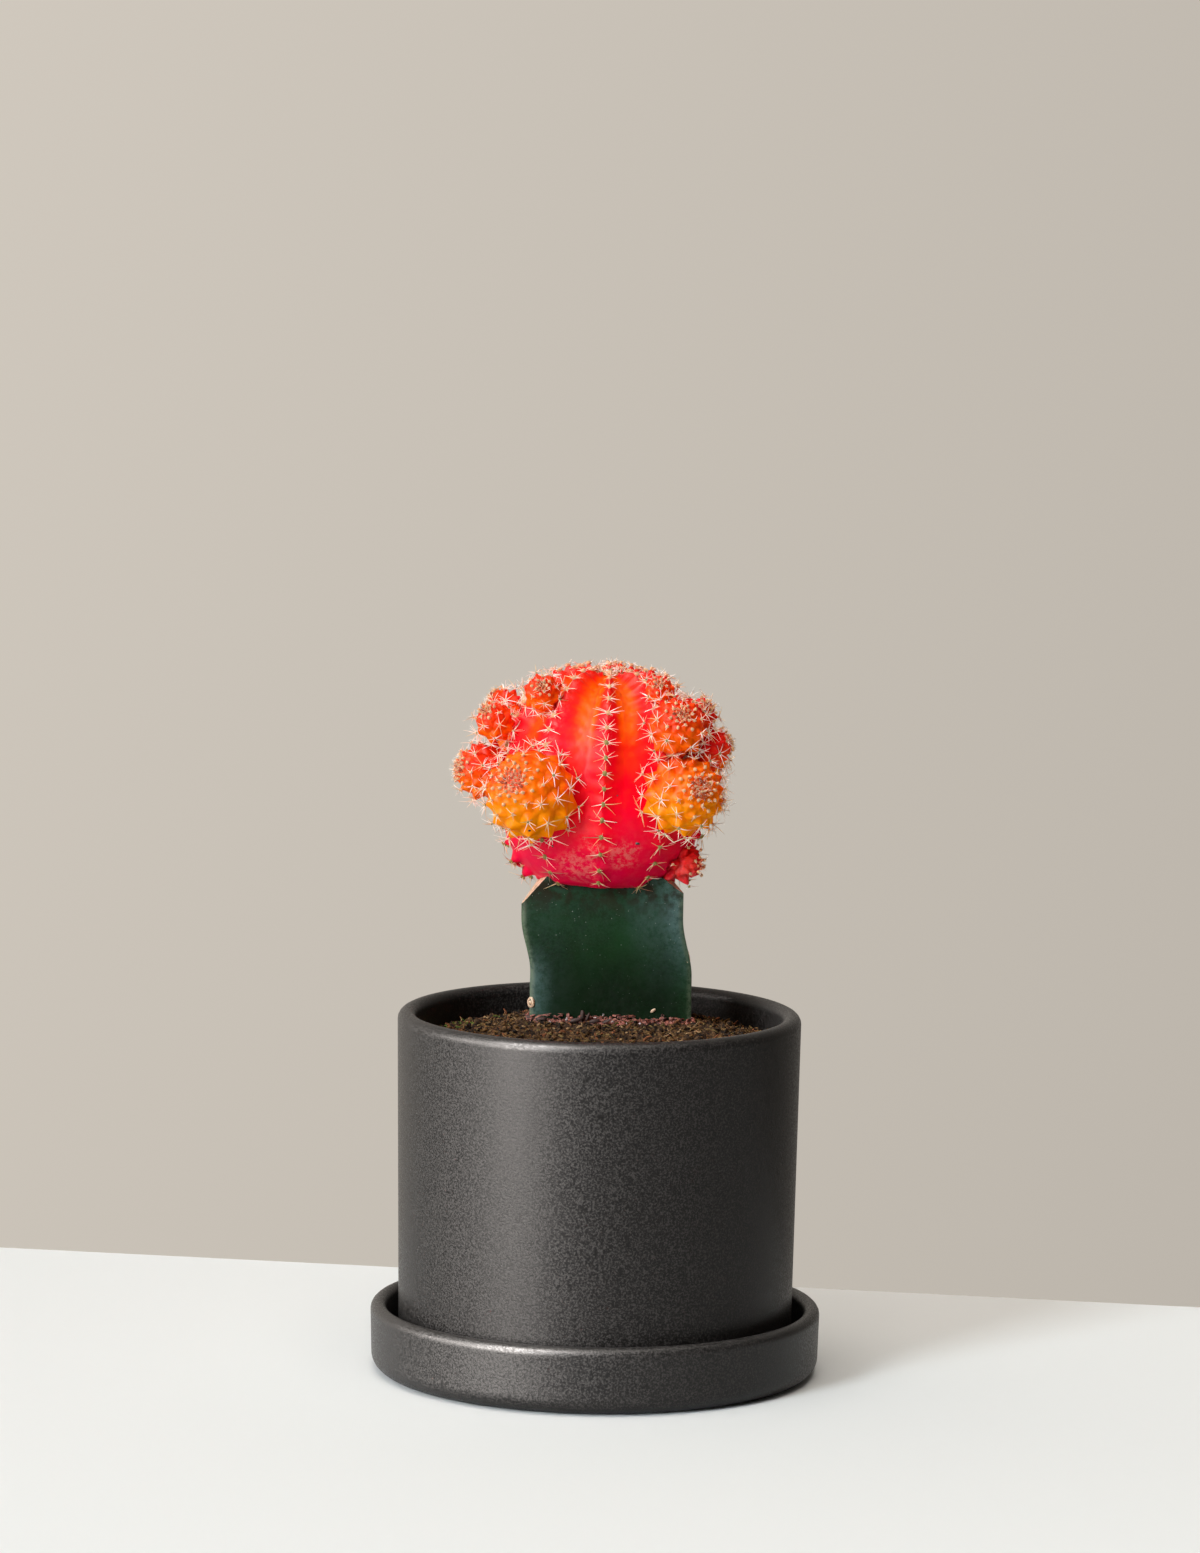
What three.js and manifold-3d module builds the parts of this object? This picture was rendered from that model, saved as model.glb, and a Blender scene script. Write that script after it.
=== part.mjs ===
// A potted moon cactus: a red and orange grafted head on a green three-sided stem, in a stoneware
// pot on its saucer. Millimetres, +Z up. The origin is the middle of the saucer's underside, -Y is
// the front and +X is the right.
import * as THREE from 'three';
import { ConvexGeometry } from 'three/addons/geometries/ConvexGeometry.js';
import { mergeVertices } from 'three/addons/utils/BufferGeometryUtils.js';
import Module from 'manifold-3d';

// Clearance between neighbours that touch on the real plant
const GAP = 0.4;
// A clearance measured along a radius is this much wider, to hold on a slanted face
const SLANT_MARGIN = 1.25;
// Corners closer than this are one corner
const WELD = 1e-4;
// Edge of a block that reaches past everything it cuts
const CUTTER_SIZE = 60;

// Pottery
const ROUND_SEGMENTS = 48;
const SAUCER_RADIUS = 58.7;
const SAUCER_HEIGHT = 17.6;
const SAUCER_WALL = 4.2;
const SAUCER_FLOOR = 4.6;
const SAUCER_HEEL = 4.4;
const SAUCER_COVE = 3;
const SAUCER_TAPER = 0.3;
const POT_RIM_RADIUS = 52.5;
const POT_FOOT_RADIUS = 51.3;
const POT_HEIGHT = 90;
const POT_WALL = 4.8;
const POT_FLOOR = 6;
const POT_HEEL = 3;
const POT_COVE = 4;
const DRAIN_RADIUS = 6;
const FOOT_RECESS = 1;
const FOOT_BEVEL = 1;
const SAUCER_FOOT_WIDTH = 6;
const POT_FOOT_WIDTH = 4;

// Soil and mulch, heights measured from the saucer's underside
const SOIL_AT_WALL = 87.2;
const SOIL_AT_STEM = 91.2;
const SOIL_CRUMB = 0.45;
const SOIL_CRUMB_WIDTH = 1.2;
const SOIL_CHAMFER = 5;
const SOIL_SEAT_EDGE = 1.5;
const SOIL_RINGS = [0.3, 0.62, 1];
const SOIL_STATIONS = 36;
const MULCH_WIDTH = 2.8;
const MULCH_HEIGHT = 2.1;
const MULCH_STATIONS = 36;
const MULCH_SEED = 7;
// The mulch's half section at one station: how far out and how high each corner lies, from a
// least to a greatest share of the collar's width and height
const MULCH_SECTION = [
  { out: [0, 0], up: [0, 0] },
  { out: [0.72, 1], up: [0, 0] },
  { out: [0.68, 0.88], up: [0.35, 0.65] },
  { out: [0.32, 0.52], up: [0.65, 1] },
  { out: [0, 0], up: [0.6, 0.9] },
];

// Rootstock: a three-sided stem with its third rib at the back
const STEM_X = 0.3;
const STEM_Y = 12;
const STEM_FOOT = 66;
const STEM_TOP = 129.8;
const STEM_RIB = 24.2;
const STEM_SHARPNESS = 12;
const STEM_SIDES = [-90, 30, 150];
const STEM_BEND = 2.5;
const STEM_BEND_FROM = 119;
const STEM_BEND_TO = 104;
const STEM_LEVELS = [92, 104, 109, 114, 119];
const STEM_STATIONS = 36;

// The slanted slices at the top of the three ribs, as the plan angle that the cut faces, its
// slope and how far from the stem's axis it leaves the flat top
const RIB_CUTS = [
  { facing: 184, slope: 49, start: 15.4 },
  { facing: 355, slope: 38, start: 16.8 },
  { facing: 90, slope: 46, start: 17.2 },
];

// Mother head, measured from its centre
const HEAD_HEIGHT = 157;
const HEAD_LEAN = 2.3;
const HEAD_RADIUS = 27;
const HEAD_RISE = 29;
const HEAD_DROP = 32;
const HEAD_SQUARENESS = { above: 2.05, below: 3 };
const HEAD_BASE = -29.6;
const CROWN_DIP = 0.14;
const CROWN_DIP_SPREAD = 17;
const RIBS = 10;
const RIB_STEPS = 3;
const RIB_DEPTH = { crown: 0.17, waist: 0.08, base: 0.04 };
const RIB_DEPTH_BASE_FROM = 130;
const RIB_START = 26;
const RIB_ROUNDNESS = 1.25;
const RIB_VALLEY = [0.36, 0.55, 0.46, 0.52, 0.45, 0.53, 0.48, 0.56, 0.44, 0.64];
const HEAD_RINGS = 18;
const HEAD_RING_SPAN = [9, 168];
const AREOLE_LIFT = 0.022;

// Spines
const SPINE_RADIUS = 0.3;
const SPINE_LENGTH = [2.8, 4.4];
const SPINE_LEAN = [12, 38];
const SPINE_ROOT = 0.9;
const SPINE_CLEARANCE = 0.7;
const SPINE_STEM_CLEARANCE = 1.5;
const SPINES_PER_AREOLE = 2;
const CROWN_SPINE_SIZE = { head: 0.5, offset: 0.6 };
const FULL_SPINES_FROM = { polar: 60, share: 0.4 };
const HEAD_SPINE_SEED = 11;
const OFFSET_SPINE_SEED = 100;
// A direction that no areole faces, to turn the first spine of each star by
const SPARE_DIRECTION = new THREE.Vector3(0.31, 0.17, 0.93);
const BARE_CROWN_WARTS = 3;

// Offset heads. place and crown are [azimuth, elevation] in degrees from the mother head's centre,
// azimuth 0 at the front and positive to the right. reach is centre to centre, and relief is the
// height of the warts as a share of the radius.
const OFFSETS = [
  ['offset_front_left', [-37, -10], 31, [-28, 24], 12.6, 48, 0.12, 'orange'],
  ['offset_front_right', [41, -6], 31, [26, 17], 11.4, 44, 0.16, 'orange'],
  ['offset_back_right', [134, 2], 31, [140, 14], 10.4, 38, 0.17, 'orange'],
  ['offset_back_left', [-135, 10], 31.5, [-142, 24], 9.2, 32, 0.17, 'coral'],
  ['offset_right_front', [39, 26], 31.5, [10, 33], 8.6, 30, 0.17, 'coral'],
  ['offset_left', [-80, -4], 31, [-66, 8], 8.6, 32, 0.18, 'coral'],
  ['offset_back_middle', [-179, -3], 31.5, [-176, 8], 8, 28, 0.18, 'orange'],
  ['offset_back_upper', [177, 37], 30.5, [178, 50], 7, 26, 0.18, 'coral'],
  ['offset_upper_left', [-72, 20], 32.5, [-39, 42], 6, 24, 0.18, 'coral'],
  ['offset_right', [61, 15], 30.5, [95, 20], 7, 22, 0.26, 'scarlet'],
  ['offset_shoulder_left', [-50, 42], 30, [-4, 26], 5.8, 22, 0.18, 'coral'],
  ['offset_upper_right', [59, 31], 31, [42, 40], 5.8, 22, 0.22, 'scarlet'],
  ['offset_side_right', [118, -16], 31, [116, -6], 5.6, 20, 0.28, 'scarlet'],
  ['offset_side_left', [-112, 25], 31.5, [-108, 34], 5.4, 20, 0.28, 'coral'],
  ['offset_shoulder_right', [43, 49], 29, [-4, 36], 4.8, 18, 0.22, 'coral'],
  ['offset_lower_right', [66, -46], 31.5, [62, 2], 7.4, 14, 0.42, 'scarlet'],
  ['offset_lower_left', [-76, -50], 31.5, [-60, -20], 3.4, 14, 0.34, 'scarlet'],
].map(([name, place, reach, crown, radius, warts, relief, hue]) => (
  { name, place, reach, crown, radius, warts, relief, hue }
));
const CROWN_CROWDING = 0.62;
const WART_SPAN = 167;
const FULL_RELIEF_FROM = 60;
const CROWN_RELIEF = 0.35;
const GOLDEN_ANGLE = Math.PI * (3 - Math.sqrt(5));
const SAME_DIRECTION = 1e-4;

const FINISH = {
  stoneware: { color: 0x3a3839, roughness: 0.6, metalness: 0 },
  soil: { color: 0x3b2819, roughness: 1, metalness: 0 },
  mulch: { color: 0x6e3a26, roughness: 0.95, metalness: 0 },
  stem: { color: 0x1f3d2b, roughness: 0.5, metalness: 0 },
  red: { color: 0xe0201c, roughness: 0.45, metalness: 0 },
  orange: { color: 0xff8a12, roughness: 0.45, metalness: 0 },
  coral: { color: 0xf5501c, roughness: 0.45, metalness: 0 },
  scarlet: { color: 0xcf1f1c, roughness: 0.45, metalness: 0 },
};

const wasm = await Module();
wasm.setup();

// Small numeric helpers

function radians(degrees) {
  return THREE.MathUtils.degToRad(degrees);
}

function mix(from, to, share) {
  return from + (to - from) * THREE.MathUtils.clamp(share, 0, 1);
}

// Numbers between 0 and 1 that come out the same every run
function seededRandom(seed) {
  let state = seed;
  return () => {
    state = (state * 1664525 + 1013904223) % 4294967296;
    return state / 4294967296;
  };
}

// The direction at an azimuth from the front, positive to the right, and an elevation
function towards([azimuth, elevation]) {
  const level = Math.cos(radians(elevation));
  return new THREE.Vector3(
    Math.sin(radians(azimuth)) * level,
    -Math.cos(radians(azimuth)) * level,
    Math.sin(radians(elevation)),
  );
}

// Points of a quarter or half round in a half section, as [radius, height]
function arc(radius, height, round, from, to, steps) {
  const points = [];
  for (let step = 0; step <= steps; step += 1) {
    const angle = radians(from + ((to - from) * step) / steps);
    points.push([radius + round * Math.cos(angle), height + round * Math.sin(angle)]);
  }
  return points;
}

// Solids

function turned(section) {
  const points = section.map(([radius, height]) => new THREE.Vector2(radius, height));
  const geometry = new THREE.LatheGeometry(points, ROUND_SEGMENTS);
  return geometry.rotateX(Math.PI / 2);
}

// A closed solid through rings of equally many points that run counterclockwise seen from +Z.
// The first ring is the lowest; both ends are closed by a fan round their middle.
function lofted(rings) {
  const around = rings[0].length;
  const points = rings.flat();
  const faces = [];
  for (let ring = 0; ring + 1 < rings.length; ring += 1) {
    for (let step = 0; step < around; step += 1) {
      const next = (step + 1) % around;
      const [a, b] = [ring * around + step, ring * around + next];
      faces.push(a, b, b + around, a, b + around, a + around);
    }
  }
  [rings[0], rings[rings.length - 1]].forEach((ring, end) => {
    const middle = ring.reduce((sum, point) => sum.add(point), new THREE.Vector3());
    const first = end * (rings.length - 1) * around;
    points.push(middle.divideScalar(around));
    for (let step = 0; step < around; step += 1) {
      const pair = [first + step, first + ((step + 1) % around)];
      if (end === 0) pair.reverse();
      faces.push(...pair, points.length - 1);
    }
  });
  const geometry = new THREE.BufferGeometry().setFromPoints(points);
  return geometry.setIndex(faces);
}

function solid(geometry) {
  const plain = new THREE.BufferGeometry();
  plain.setAttribute('position', geometry.getAttribute('position'));
  plain.setIndex(geometry.getIndex());
  const merged = mergeVertices(plain, WELD);
  return new wasm.Manifold(new wasm.Mesh({
    numProp: 3,
    vertProperties: merged.getAttribute('position').array,
    triVerts: Uint32Array.from(merged.getIndex().array),
  }));
}

function geometryOf(manifold) {
  const mesh = manifold.getMesh();
  const geometry = new THREE.BufferGeometry();
  geometry.setAttribute('position', new THREE.BufferAttribute(mesh.vertProperties, 3));
  return geometry.setIndex(new THREE.BufferAttribute(mesh.triVerts, 1));
}

function largestPiece(manifold) {
  return manifold.decompose().reduce((best, piece) => (piece.volume() > best.volume() ? piece : best));
}

function meshOf(name, geometry, finish) {
  geometry.computeVertexNormals();
  const mesh = new THREE.Mesh(geometry, new THREE.MeshStandardMaterial(FINISH[finish]));
  mesh.name = name;
  return mesh;
}

// Pottery, each piece standing at height 0 of its own group

function saucer() {
  const lip = SAUCER_WALL / 2;
  const inner = SAUCER_RADIUS - SAUCER_WALL - SAUCER_TAPER;
  const ring = SAUCER_RADIUS - SAUCER_TAPER - SAUCER_HEEL;
  return turned([
    [0, FOOT_RECESS],
    [ring - SAUCER_FOOT_WIDTH - FOOT_BEVEL, FOOT_RECESS],
    [ring - SAUCER_FOOT_WIDTH, 0],
    ...arc(ring, SAUCER_HEEL, SAUCER_HEEL, -90, 0, 3),
    ...arc(SAUCER_RADIUS - lip, SAUCER_HEIGHT - lip, lip, 0, 180, 4),
    ...arc(inner - SAUCER_COVE, SAUCER_FLOOR + SAUCER_COVE, SAUCER_COVE, 0, -90, 2),
    [0, SAUCER_FLOOR],
  ]);
}

function pot() {
  const lip = POT_WALL / 2;
  const ring = POT_FOOT_RADIUS - POT_HEEL;
  return turned([
    [DRAIN_RADIUS, FOOT_RECESS],
    [ring - POT_FOOT_WIDTH - FOOT_BEVEL, FOOT_RECESS],
    [ring - POT_FOOT_WIDTH, 0],
    ...arc(ring, POT_HEEL, POT_HEEL, -90, 0, 3),
    ...arc(POT_RIM_RADIUS - lip, POT_HEIGHT - lip, lip, 0, 180, 4),
    ...arc(POT_FOOT_RADIUS - POT_WALL - POT_COVE, POT_FLOOR + POT_COVE, POT_COVE, 0, -90, 2),
    [DRAIN_RADIUS, POT_FLOOR],
    [DRAIN_RADIUS, FOOT_RECESS],
  ]);
}

// Rootstock

// How far the stem's axis is bent to the right at a height
function stemBend(height) {
  return STEM_BEND * (1 - THREE.MathUtils.smoothstep(height, STEM_BEND_TO, STEM_BEND_FROM));
}

// How far the stem reaches from its axis at a plan angle: three flat sides and rounded ribs
function stemReach(angle) {
  const flat = STEM_RIB * 0.5 * 2 ** (1 / STEM_SHARPNESS);
  const facing = STEM_SIDES.map((side) => Math.max(0, Math.cos(angle - radians(side))));
  const total = facing.reduce((sum, share) => sum + share ** STEM_SHARPNESS, 0);
  return flat / total ** (1 / STEM_SHARPNESS);
}

// One level outline of the stem, grown by a margin on its flat sides
function stemOutline(height, margin, count) {
  const outline = [];
  for (let step = 0; step < count; step += 1) {
    const angle = (2 * Math.PI * step) / count;
    const reach = stemReach(angle) + margin * SLANT_MARGIN;
    outline.push(new THREE.Vector3(
      STEM_X + stemBend(height) + reach * Math.cos(angle),
      STEM_Y + reach * Math.sin(angle),
      height,
    ));
  }
  return outline;
}

function stemBlank(foot, top, margin) {
  const heights = [foot, ...STEM_LEVELS, top];
  return lofted(heights.map((height) => stemOutline(height, margin, STEM_STATIONS)));
}

// A block that lies on the outer side of a slanted plane
function blockBeyond(point, normal) {
  const block = new THREE.BoxGeometry(CUTTER_SIZE, CUTTER_SIZE, CUTTER_SIZE);
  block.translate(0, 0, CUTTER_SIZE / 2);
  block.applyQuaternion(new THREE.Quaternion().setFromUnitVectors(new THREE.Vector3(0, 0, 1), normal));
  return block.translate(point.x, point.y, point.z);
}

function rootstock() {
  return RIB_CUTS.reduce((stem, { facing, slope, start }) => {
    const out = new THREE.Vector3(Math.cos(radians(facing)), Math.sin(radians(facing)), 0);
    const edge = new THREE.Vector3(STEM_X, STEM_Y, STEM_TOP).addScaledVector(out, start);
    const normal = out.clone().multiplyScalar(Math.sin(radians(slope)));
    normal.z = Math.cos(radians(slope));
    return stem.subtract(solid(blockBeyond(edge, normal)));
  }, solid(stemBlank(STEM_FOOT, STEM_TOP, 0)));
}

// Soil and mulch

// Uneven waves between -1 and 1, to set the soil's surface up and down by
function crumb(x, y) {
  const [across, back] = [x / SOIL_CRUMB_WIDTH, y / SOIL_CRUMB_WIDTH];
  return Math.sin(across + 2 * Math.sin(back / 2)) * Math.sin(back + 2 * Math.sin(across / 2));
}

// From the foot of the stem's hole up and over the surface to the wall, then down to the pot's floor
function soil() {
  const floor = SAUCER_FLOOR + POT_FLOOR + GAP;
  const wall = POT_RIM_RADIUS - POT_WALL - 2 * GAP;
  const foot = POT_FOOT_RADIUS - POT_WALL - GAP;
  const chamfer = SOIL_CHAMFER;
  const hole = (height) => stemOutline(height, GAP, SOIL_STATIONS);
  const circle = (radius, height) => hole(height).map((unused, step) => {
    const angle = (2 * Math.PI * step) / SOIL_STATIONS;
    return new THREE.Vector3(radius * Math.cos(angle), radius * Math.sin(angle), height);
  });
  const seat = stemOutline(SOIL_AT_STEM, MULCH_WIDTH + SOIL_SEAT_EDGE, SOIL_STATIONS);
  const surface = SOIL_RINGS.map((share) => circle(wall, SOIL_AT_WALL).map((rim, step) => {
    const point = seat[step].clone().lerp(rim, share);
    point.z += share < 1 ? SOIL_CRUMB * crumb(point.x, point.y) : 0;
    return point;
  }));
  return lofted([
    circle(foot - chamfer, floor),
    circle(foot, floor + chamfer),
    ...surface.reverse(),
    seat,
    hole(SOIL_AT_STEM),
    hole(STEM_FOOT - GAP),
  ]);
}

// A collar of loose bits with a rough top round the foot of the stem
function mulch() {
  const random = seededRandom(MULCH_SEED);
  const inner = stemOutline(SOIL_AT_STEM, GAP, MULCH_STATIONS);
  const outer = stemOutline(SOIL_AT_STEM, MULCH_WIDTH, MULCH_STATIONS);
  const points = inner.flatMap((near, station) => MULCH_SECTION.map(({ out, up }) => {
    const point = near.clone().lerp(outer[station], mix(...out, random()));
    point.z += MULCH_HEIGHT * mix(...up, random());
    return point;
  }));
  const across = MULCH_SECTION.length;
  const faces = [];
  for (let station = 0; station < MULCH_STATIONS; station += 1) {
    for (let bit = 0; bit < across; bit += 1) {
      const a = station * across + bit;
      const b = station * across + ((bit + 1) % across);
      const c = (a + across) % points.length;
      const d = (b + across) % points.length;
      faces.push(a, c, d, a, d, b);
    }
  }
  return new THREE.BufferGeometry().setFromPoints(points).setIndex(faces);
}

// Mother head, in its own leaning frame with its centre at 0

// Distance from the head's centre to the crest of its ribs at a polar angle from the crown
function crestRadius(polar) {
  const above = polar < Math.PI / 2;
  const power = above ? HEAD_SQUARENESS.above : HEAD_SQUARENESS.below;
  const tall = above ? HEAD_RISE : HEAD_DROP;
  const wide = (Math.abs(Math.sin(polar)) / HEAD_RADIUS) ** power;
  const high = (Math.abs(Math.cos(polar)) / tall) ** power;
  const dip = CROWN_DIP * Math.exp(-((polar / radians(CROWN_DIP_SPREAD)) ** 2));
  return (wide + high) ** (-1 / power) * (1 - dip);
}

function ribDepth(polar) {
  const waist = Math.PI / 2;
  const depth = polar < waist
    ? mix(RIB_DEPTH.crown, RIB_DEPTH.waist, polar / waist)
    : mix(RIB_DEPTH.waist, RIB_DEPTH.base, (polar - waist) / (radians(RIB_DEPTH_BASE_FROM) - waist));
  return depth * THREE.MathUtils.smoothstep(polar, 0, radians(RIB_START));
}

// The head's radius at a polar angle and a turn from the front rib, in ribs. Between two crests
// the surface falls to a valley that lies at the given share of the way.
function headRadius(polar, turn) {
  const rib = ((Math.floor(turn) % RIBS) + RIBS) % RIBS;
  const part = turn - Math.floor(turn);
  const valley = RIB_VALLEY[rib];
  const fall = part < valley ? part / valley : (1 - part) / (1 - valley);
  return crestRadius(polar) * (1 - ribDepth(polar) * fall ** RIB_ROUNDNESS);
}

function headPoint(polar, turn, lift) {
  const angle = (2 * Math.PI * turn) / RIBS - Math.PI / 2;
  const radius = headRadius(polar, turn) * (1 + lift);
  return new THREE.Vector3(
    radius * Math.sin(polar) * Math.cos(angle),
    radius * Math.sin(polar) * Math.sin(angle),
    radius * Math.cos(polar),
  );
}

function ringPolar(ring) {
  return radians(mix(...HEAD_RING_SPAN, ring / (HEAD_RINGS - 1)));
}

// Crest corners of every second ring are raised into the swellings that carry the areoles
function isAreole(ring, rib) {
  return (ring + rib) % 2 === 0 && ring > 0 && ring < HEAD_RINGS - 2;
}

function headBlank(grow) {
  const rings = [];
  for (let ring = HEAD_RINGS - 1; ring >= 0; ring -= 1) {
    const outline = [];
    for (let rib = 0; rib < RIBS; rib += 1) {
      const valley = RIB_VALLEY[rib];
      for (let step = 0; step < RIB_STEPS; step += 1) {
        const lift = step === 0 && isAreole(ring, rib) ? AREOLE_LIFT : 0;
        outline.push(headPoint(ringPolar(ring), rib + (valley * step) / RIB_STEPS, lift + grow));
      }
      for (let step = 0; step < RIB_STEPS; step += 1) {
        const turn = rib + valley + ((1 - valley) * step) / RIB_STEPS;
        outline.push(headPoint(ringPolar(ring), turn, grow));
      }
    }
    rings.push(outline);
  }
  return solid(lofted(rings));
}

// Offset heads

// Directions of a head's warts, packed like seeds round its crown with the smallest in the middle
function wartDirections(offset) {
  const turnToCrown = new THREE.Quaternion()
    .setFromUnitVectors(new THREE.Vector3(0, 0, 1), towards(offset.crown));
  const directions = [];
  for (let wart = 0; wart < offset.warts; wart += 1) {
    const polar = radians(WART_SPAN) * ((wart + 0.5) / offset.warts) ** CROWN_CROWDING;
    const turn = wart * GOLDEN_ANGLE;
    const direction = new THREE.Vector3(
      Math.sin(polar) * Math.cos(turn),
      Math.sin(polar) * Math.sin(turn),
      Math.cos(polar),
    );
    directions.push(direction.applyQuaternion(turnToCrown));
  }
  return directions;
}

// Middles of the triangles between neighbouring warts
function hollowDirections(tips) {
  const corners = new ConvexGeometry(tips).getAttribute('position');
  const hollows = [];
  for (let corner = 0; corner < corners.count; corner += 3) {
    const middle = new THREE.Vector3();
    for (let side = 0; side < 3; side += 1) {
      middle.add(new THREE.Vector3().fromBufferAttribute(corners, corner + side));
    }
    hollows.push(middle.normalize());
  }
  return hollows;
}

// How tall a head's warts stand at a polar angle from its crown, as a share of its radius
function wartRelief(offset, polar) {
  return offset.relief * mix(CROWN_RELIEF, 1, polar / radians(FULL_RELIEF_FROM));
}

// A star-shaped head: each wart is a low pyramid between the hollows round it
function offsetBlank(offset, grow) {
  const crown = towards(offset.crown);
  const tips = wartDirections(offset);
  const hollows = hollowDirections(tips);
  const geometry = new ConvexGeometry([...tips, ...hollows]);
  const position = geometry.getAttribute('position');
  const direction = new THREE.Vector3();
  for (let corner = 0; corner < position.count; corner += 1) {
    direction.fromBufferAttribute(position, corner).normalize();
    const isHollow = hollows.some((hollow) => hollow.distanceTo(direction) < SAME_DIRECTION);
    const dip = isHollow ? wartRelief(offset, direction.angleTo(crown)) : 0;
    const place = offsetCentre(offset).addScaledVector(direction, offset.radius * (1 - dip) + grow);
    position.setXYZ(corner, place.x, place.y, place.z);
  }
  return solid(geometry);
}

function offsetCentre(offset) {
  return towards(offset.place).multiplyScalar(offset.reach);
}

// Spines

// A three-sided needle with its root sunk in the skin
function needle({ root, direction, length }) {
  const cone = new THREE.ConeGeometry(SPINE_RADIUS, length + SPINE_ROOT, 3);
  cone.translate(0, (length + SPINE_ROOT) / 2 - SPINE_ROOT, 0);
  cone.applyQuaternion(new THREE.Quaternion().setFromUnitVectors(new THREE.Vector3(0, 1, 0), direction));
  return solid(cone.translate(root.x, root.y, root.z));
}

// A few needles that spread from an areole like the spokes of a star, leaning outwards. They are
// flatter and shorter near the crown, where size is under 1.
function spineStar(root, outward, count, size, random) {
  const side = SPARE_DIRECTION.clone().cross(outward).normalize();
  const start = random() * 2 * Math.PI;
  const star = [];
  for (let spoke = 0; spoke < count; spoke += 1) {
    const direction = side.clone().applyAxisAngle(outward, start + (2 * Math.PI * spoke) / count);
    direction.addScaledVector(outward, Math.tan(radians(mix(...SPINE_LEAN, random() * size))));
    star.push({ root, direction: direction.normalize(), length: size * mix(...SPINE_LENGTH, random()) });
  }
  return star;
}

function headSpines() {
  const random = seededRandom(HEAD_SPINE_SEED);
  const spines = [];
  for (let ring = 0; ring < HEAD_RINGS; ring += 1) {
    for (let rib = 0; rib < RIBS; rib += 1) {
      if (isAreole(ring, rib)) {
        const root = headPoint(ringPolar(ring), rib, AREOLE_LIFT);
        const share = ringPolar(ring) / radians(FULL_SPINES_FROM.polar);
        const size = mix(CROWN_SPINE_SIZE.head, 1, share);
        spines.push(...spineStar(root, root.clone().normalize(), SPINES_PER_AREOLE, size, random));
      }
    }
  }
  return spines;
}

function offsetSpines(offset, seed) {
  const random = seededRandom(seed);
  const centre = offsetCentre(offset);
  return wartDirections(offset).flatMap((direction, wart) => {
    const root = centre.clone().addScaledVector(direction, offset.radius);
    const share = wart / (FULL_SPINES_FROM.share * offset.warts);
    const size = mix(CROWN_SPINE_SIZE.offset, 1, share);
    return wart < BARE_CROWN_WARTS ? [] : spineStar(root, direction, 1, size, random);
  });
}

// Whether a needle keeps clear of the other heads, the stem and the needles already placed
function isClear(spine, owner, heads, placed) {
  const along = [0, 0.25, 0.5, 0.75, 1].map(
    (share) => spine.root.clone().addScaledVector(spine.direction, spine.length * share),
  );
  const hitsHead = heads.some((head) => head !== owner && along.some((point) => head.holds(point)));
  const hitsStem = along.some(({ x, y, z }) => (
    z < STEM_TOP - HEAD_HEIGHT + SPINE_STEM_CLEARANCE
    && Math.hypot(x, y) < stemReach(Math.atan2(y, x)) + SPINE_STEM_CLEARANCE
  ));
  const hitsNeedle = placed.some((other) => other.owner !== owner && other.along.some(
    (point) => along.some((mine) => mine.distanceTo(point) < SPINE_CLEARANCE),
  ));
  if (hitsHead || hitsStem || hitsNeedle) return false;
  placed.push({ owner, along });
  return true;
}

// Each head keeps the shape that its bigger neighbours leave it
function scion() {
  const lean = new THREE.Matrix4().makeRotationY(radians(HEAD_LEAN));
  lean.setPosition(STEM_X, STEM_Y, HEAD_HEIGHT);
  const seat = stemBlank(STEM_FOOT, STEM_TOP + GAP, GAP).applyMatrix4(lean.clone().invert());
  const below = blockBeyond(new THREE.Vector3(0, 0, HEAD_BASE), new THREE.Vector3(0, 0, -1));
  const mother = {
    name: 'scion_body',
    hue: 'red',
    body: headBlank(0).subtract(solid(below)).subtract(solid(seat)),
    grown: headBlank((SLANT_MARGIN * GAP) / HEAD_RADIUS),
    spines: headSpines(),
    holds: (point) => {
      const polar = point.angleTo(new THREE.Vector3(0, 0, 1));
      return point.length() < crestRadius(polar) * (1 + AREOLE_LIFT) + GAP;
    },
  };
  const heads = [mother];
  OFFSETS.forEach((offset, index) => {
    const centre = offsetCentre(offset);
    const trimmed = heads.reduce((body, head) => body.subtract(head.grown), offsetBlank(offset, 0));
    heads.push({
      name: offset.name,
      hue: offset.hue,
      body: largestPiece(trimmed.subtract(solid(seat))),
      grown: offsetBlank(offset, SLANT_MARGIN * GAP),
      spines: offsetSpines(offset, OFFSET_SPINE_SEED + index),
      holds: (point) => point.distanceTo(centre) < offset.radius + GAP,
    });
  });
  const placed = [];
  const group = new THREE.Group();
  heads.forEach((head) => {
    const kept = head.spines.filter((spine) => isClear(spine, head, heads, placed));
    const whole = kept.reduce((body, spine) => body.add(needle(spine)), head.body);
    group.add(meshOf(head.name, geometryOf(whole), head.hue));
  });
  lean.decompose(group.position, group.quaternion, group.scale);
  return group;
}

// The whole object

const mooncactus = new THREE.Group();
mooncactus.add(meshOf('saucer', saucer(), 'stoneware'));

const potMesh = meshOf('pot', pot(), 'stoneware');
potMesh.position.z = SAUCER_FLOOR;
mooncactus.add(potMesh);

mooncactus.add(meshOf('soil', soil(), 'soil'));
mooncactus.add(meshOf('coir_mulch', mulch(), 'mulch'));
mooncactus.add(meshOf('rootstock', geometryOf(rootstock()), 'stem'));
mooncactus.add(scion());

export default mooncactus;
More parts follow.
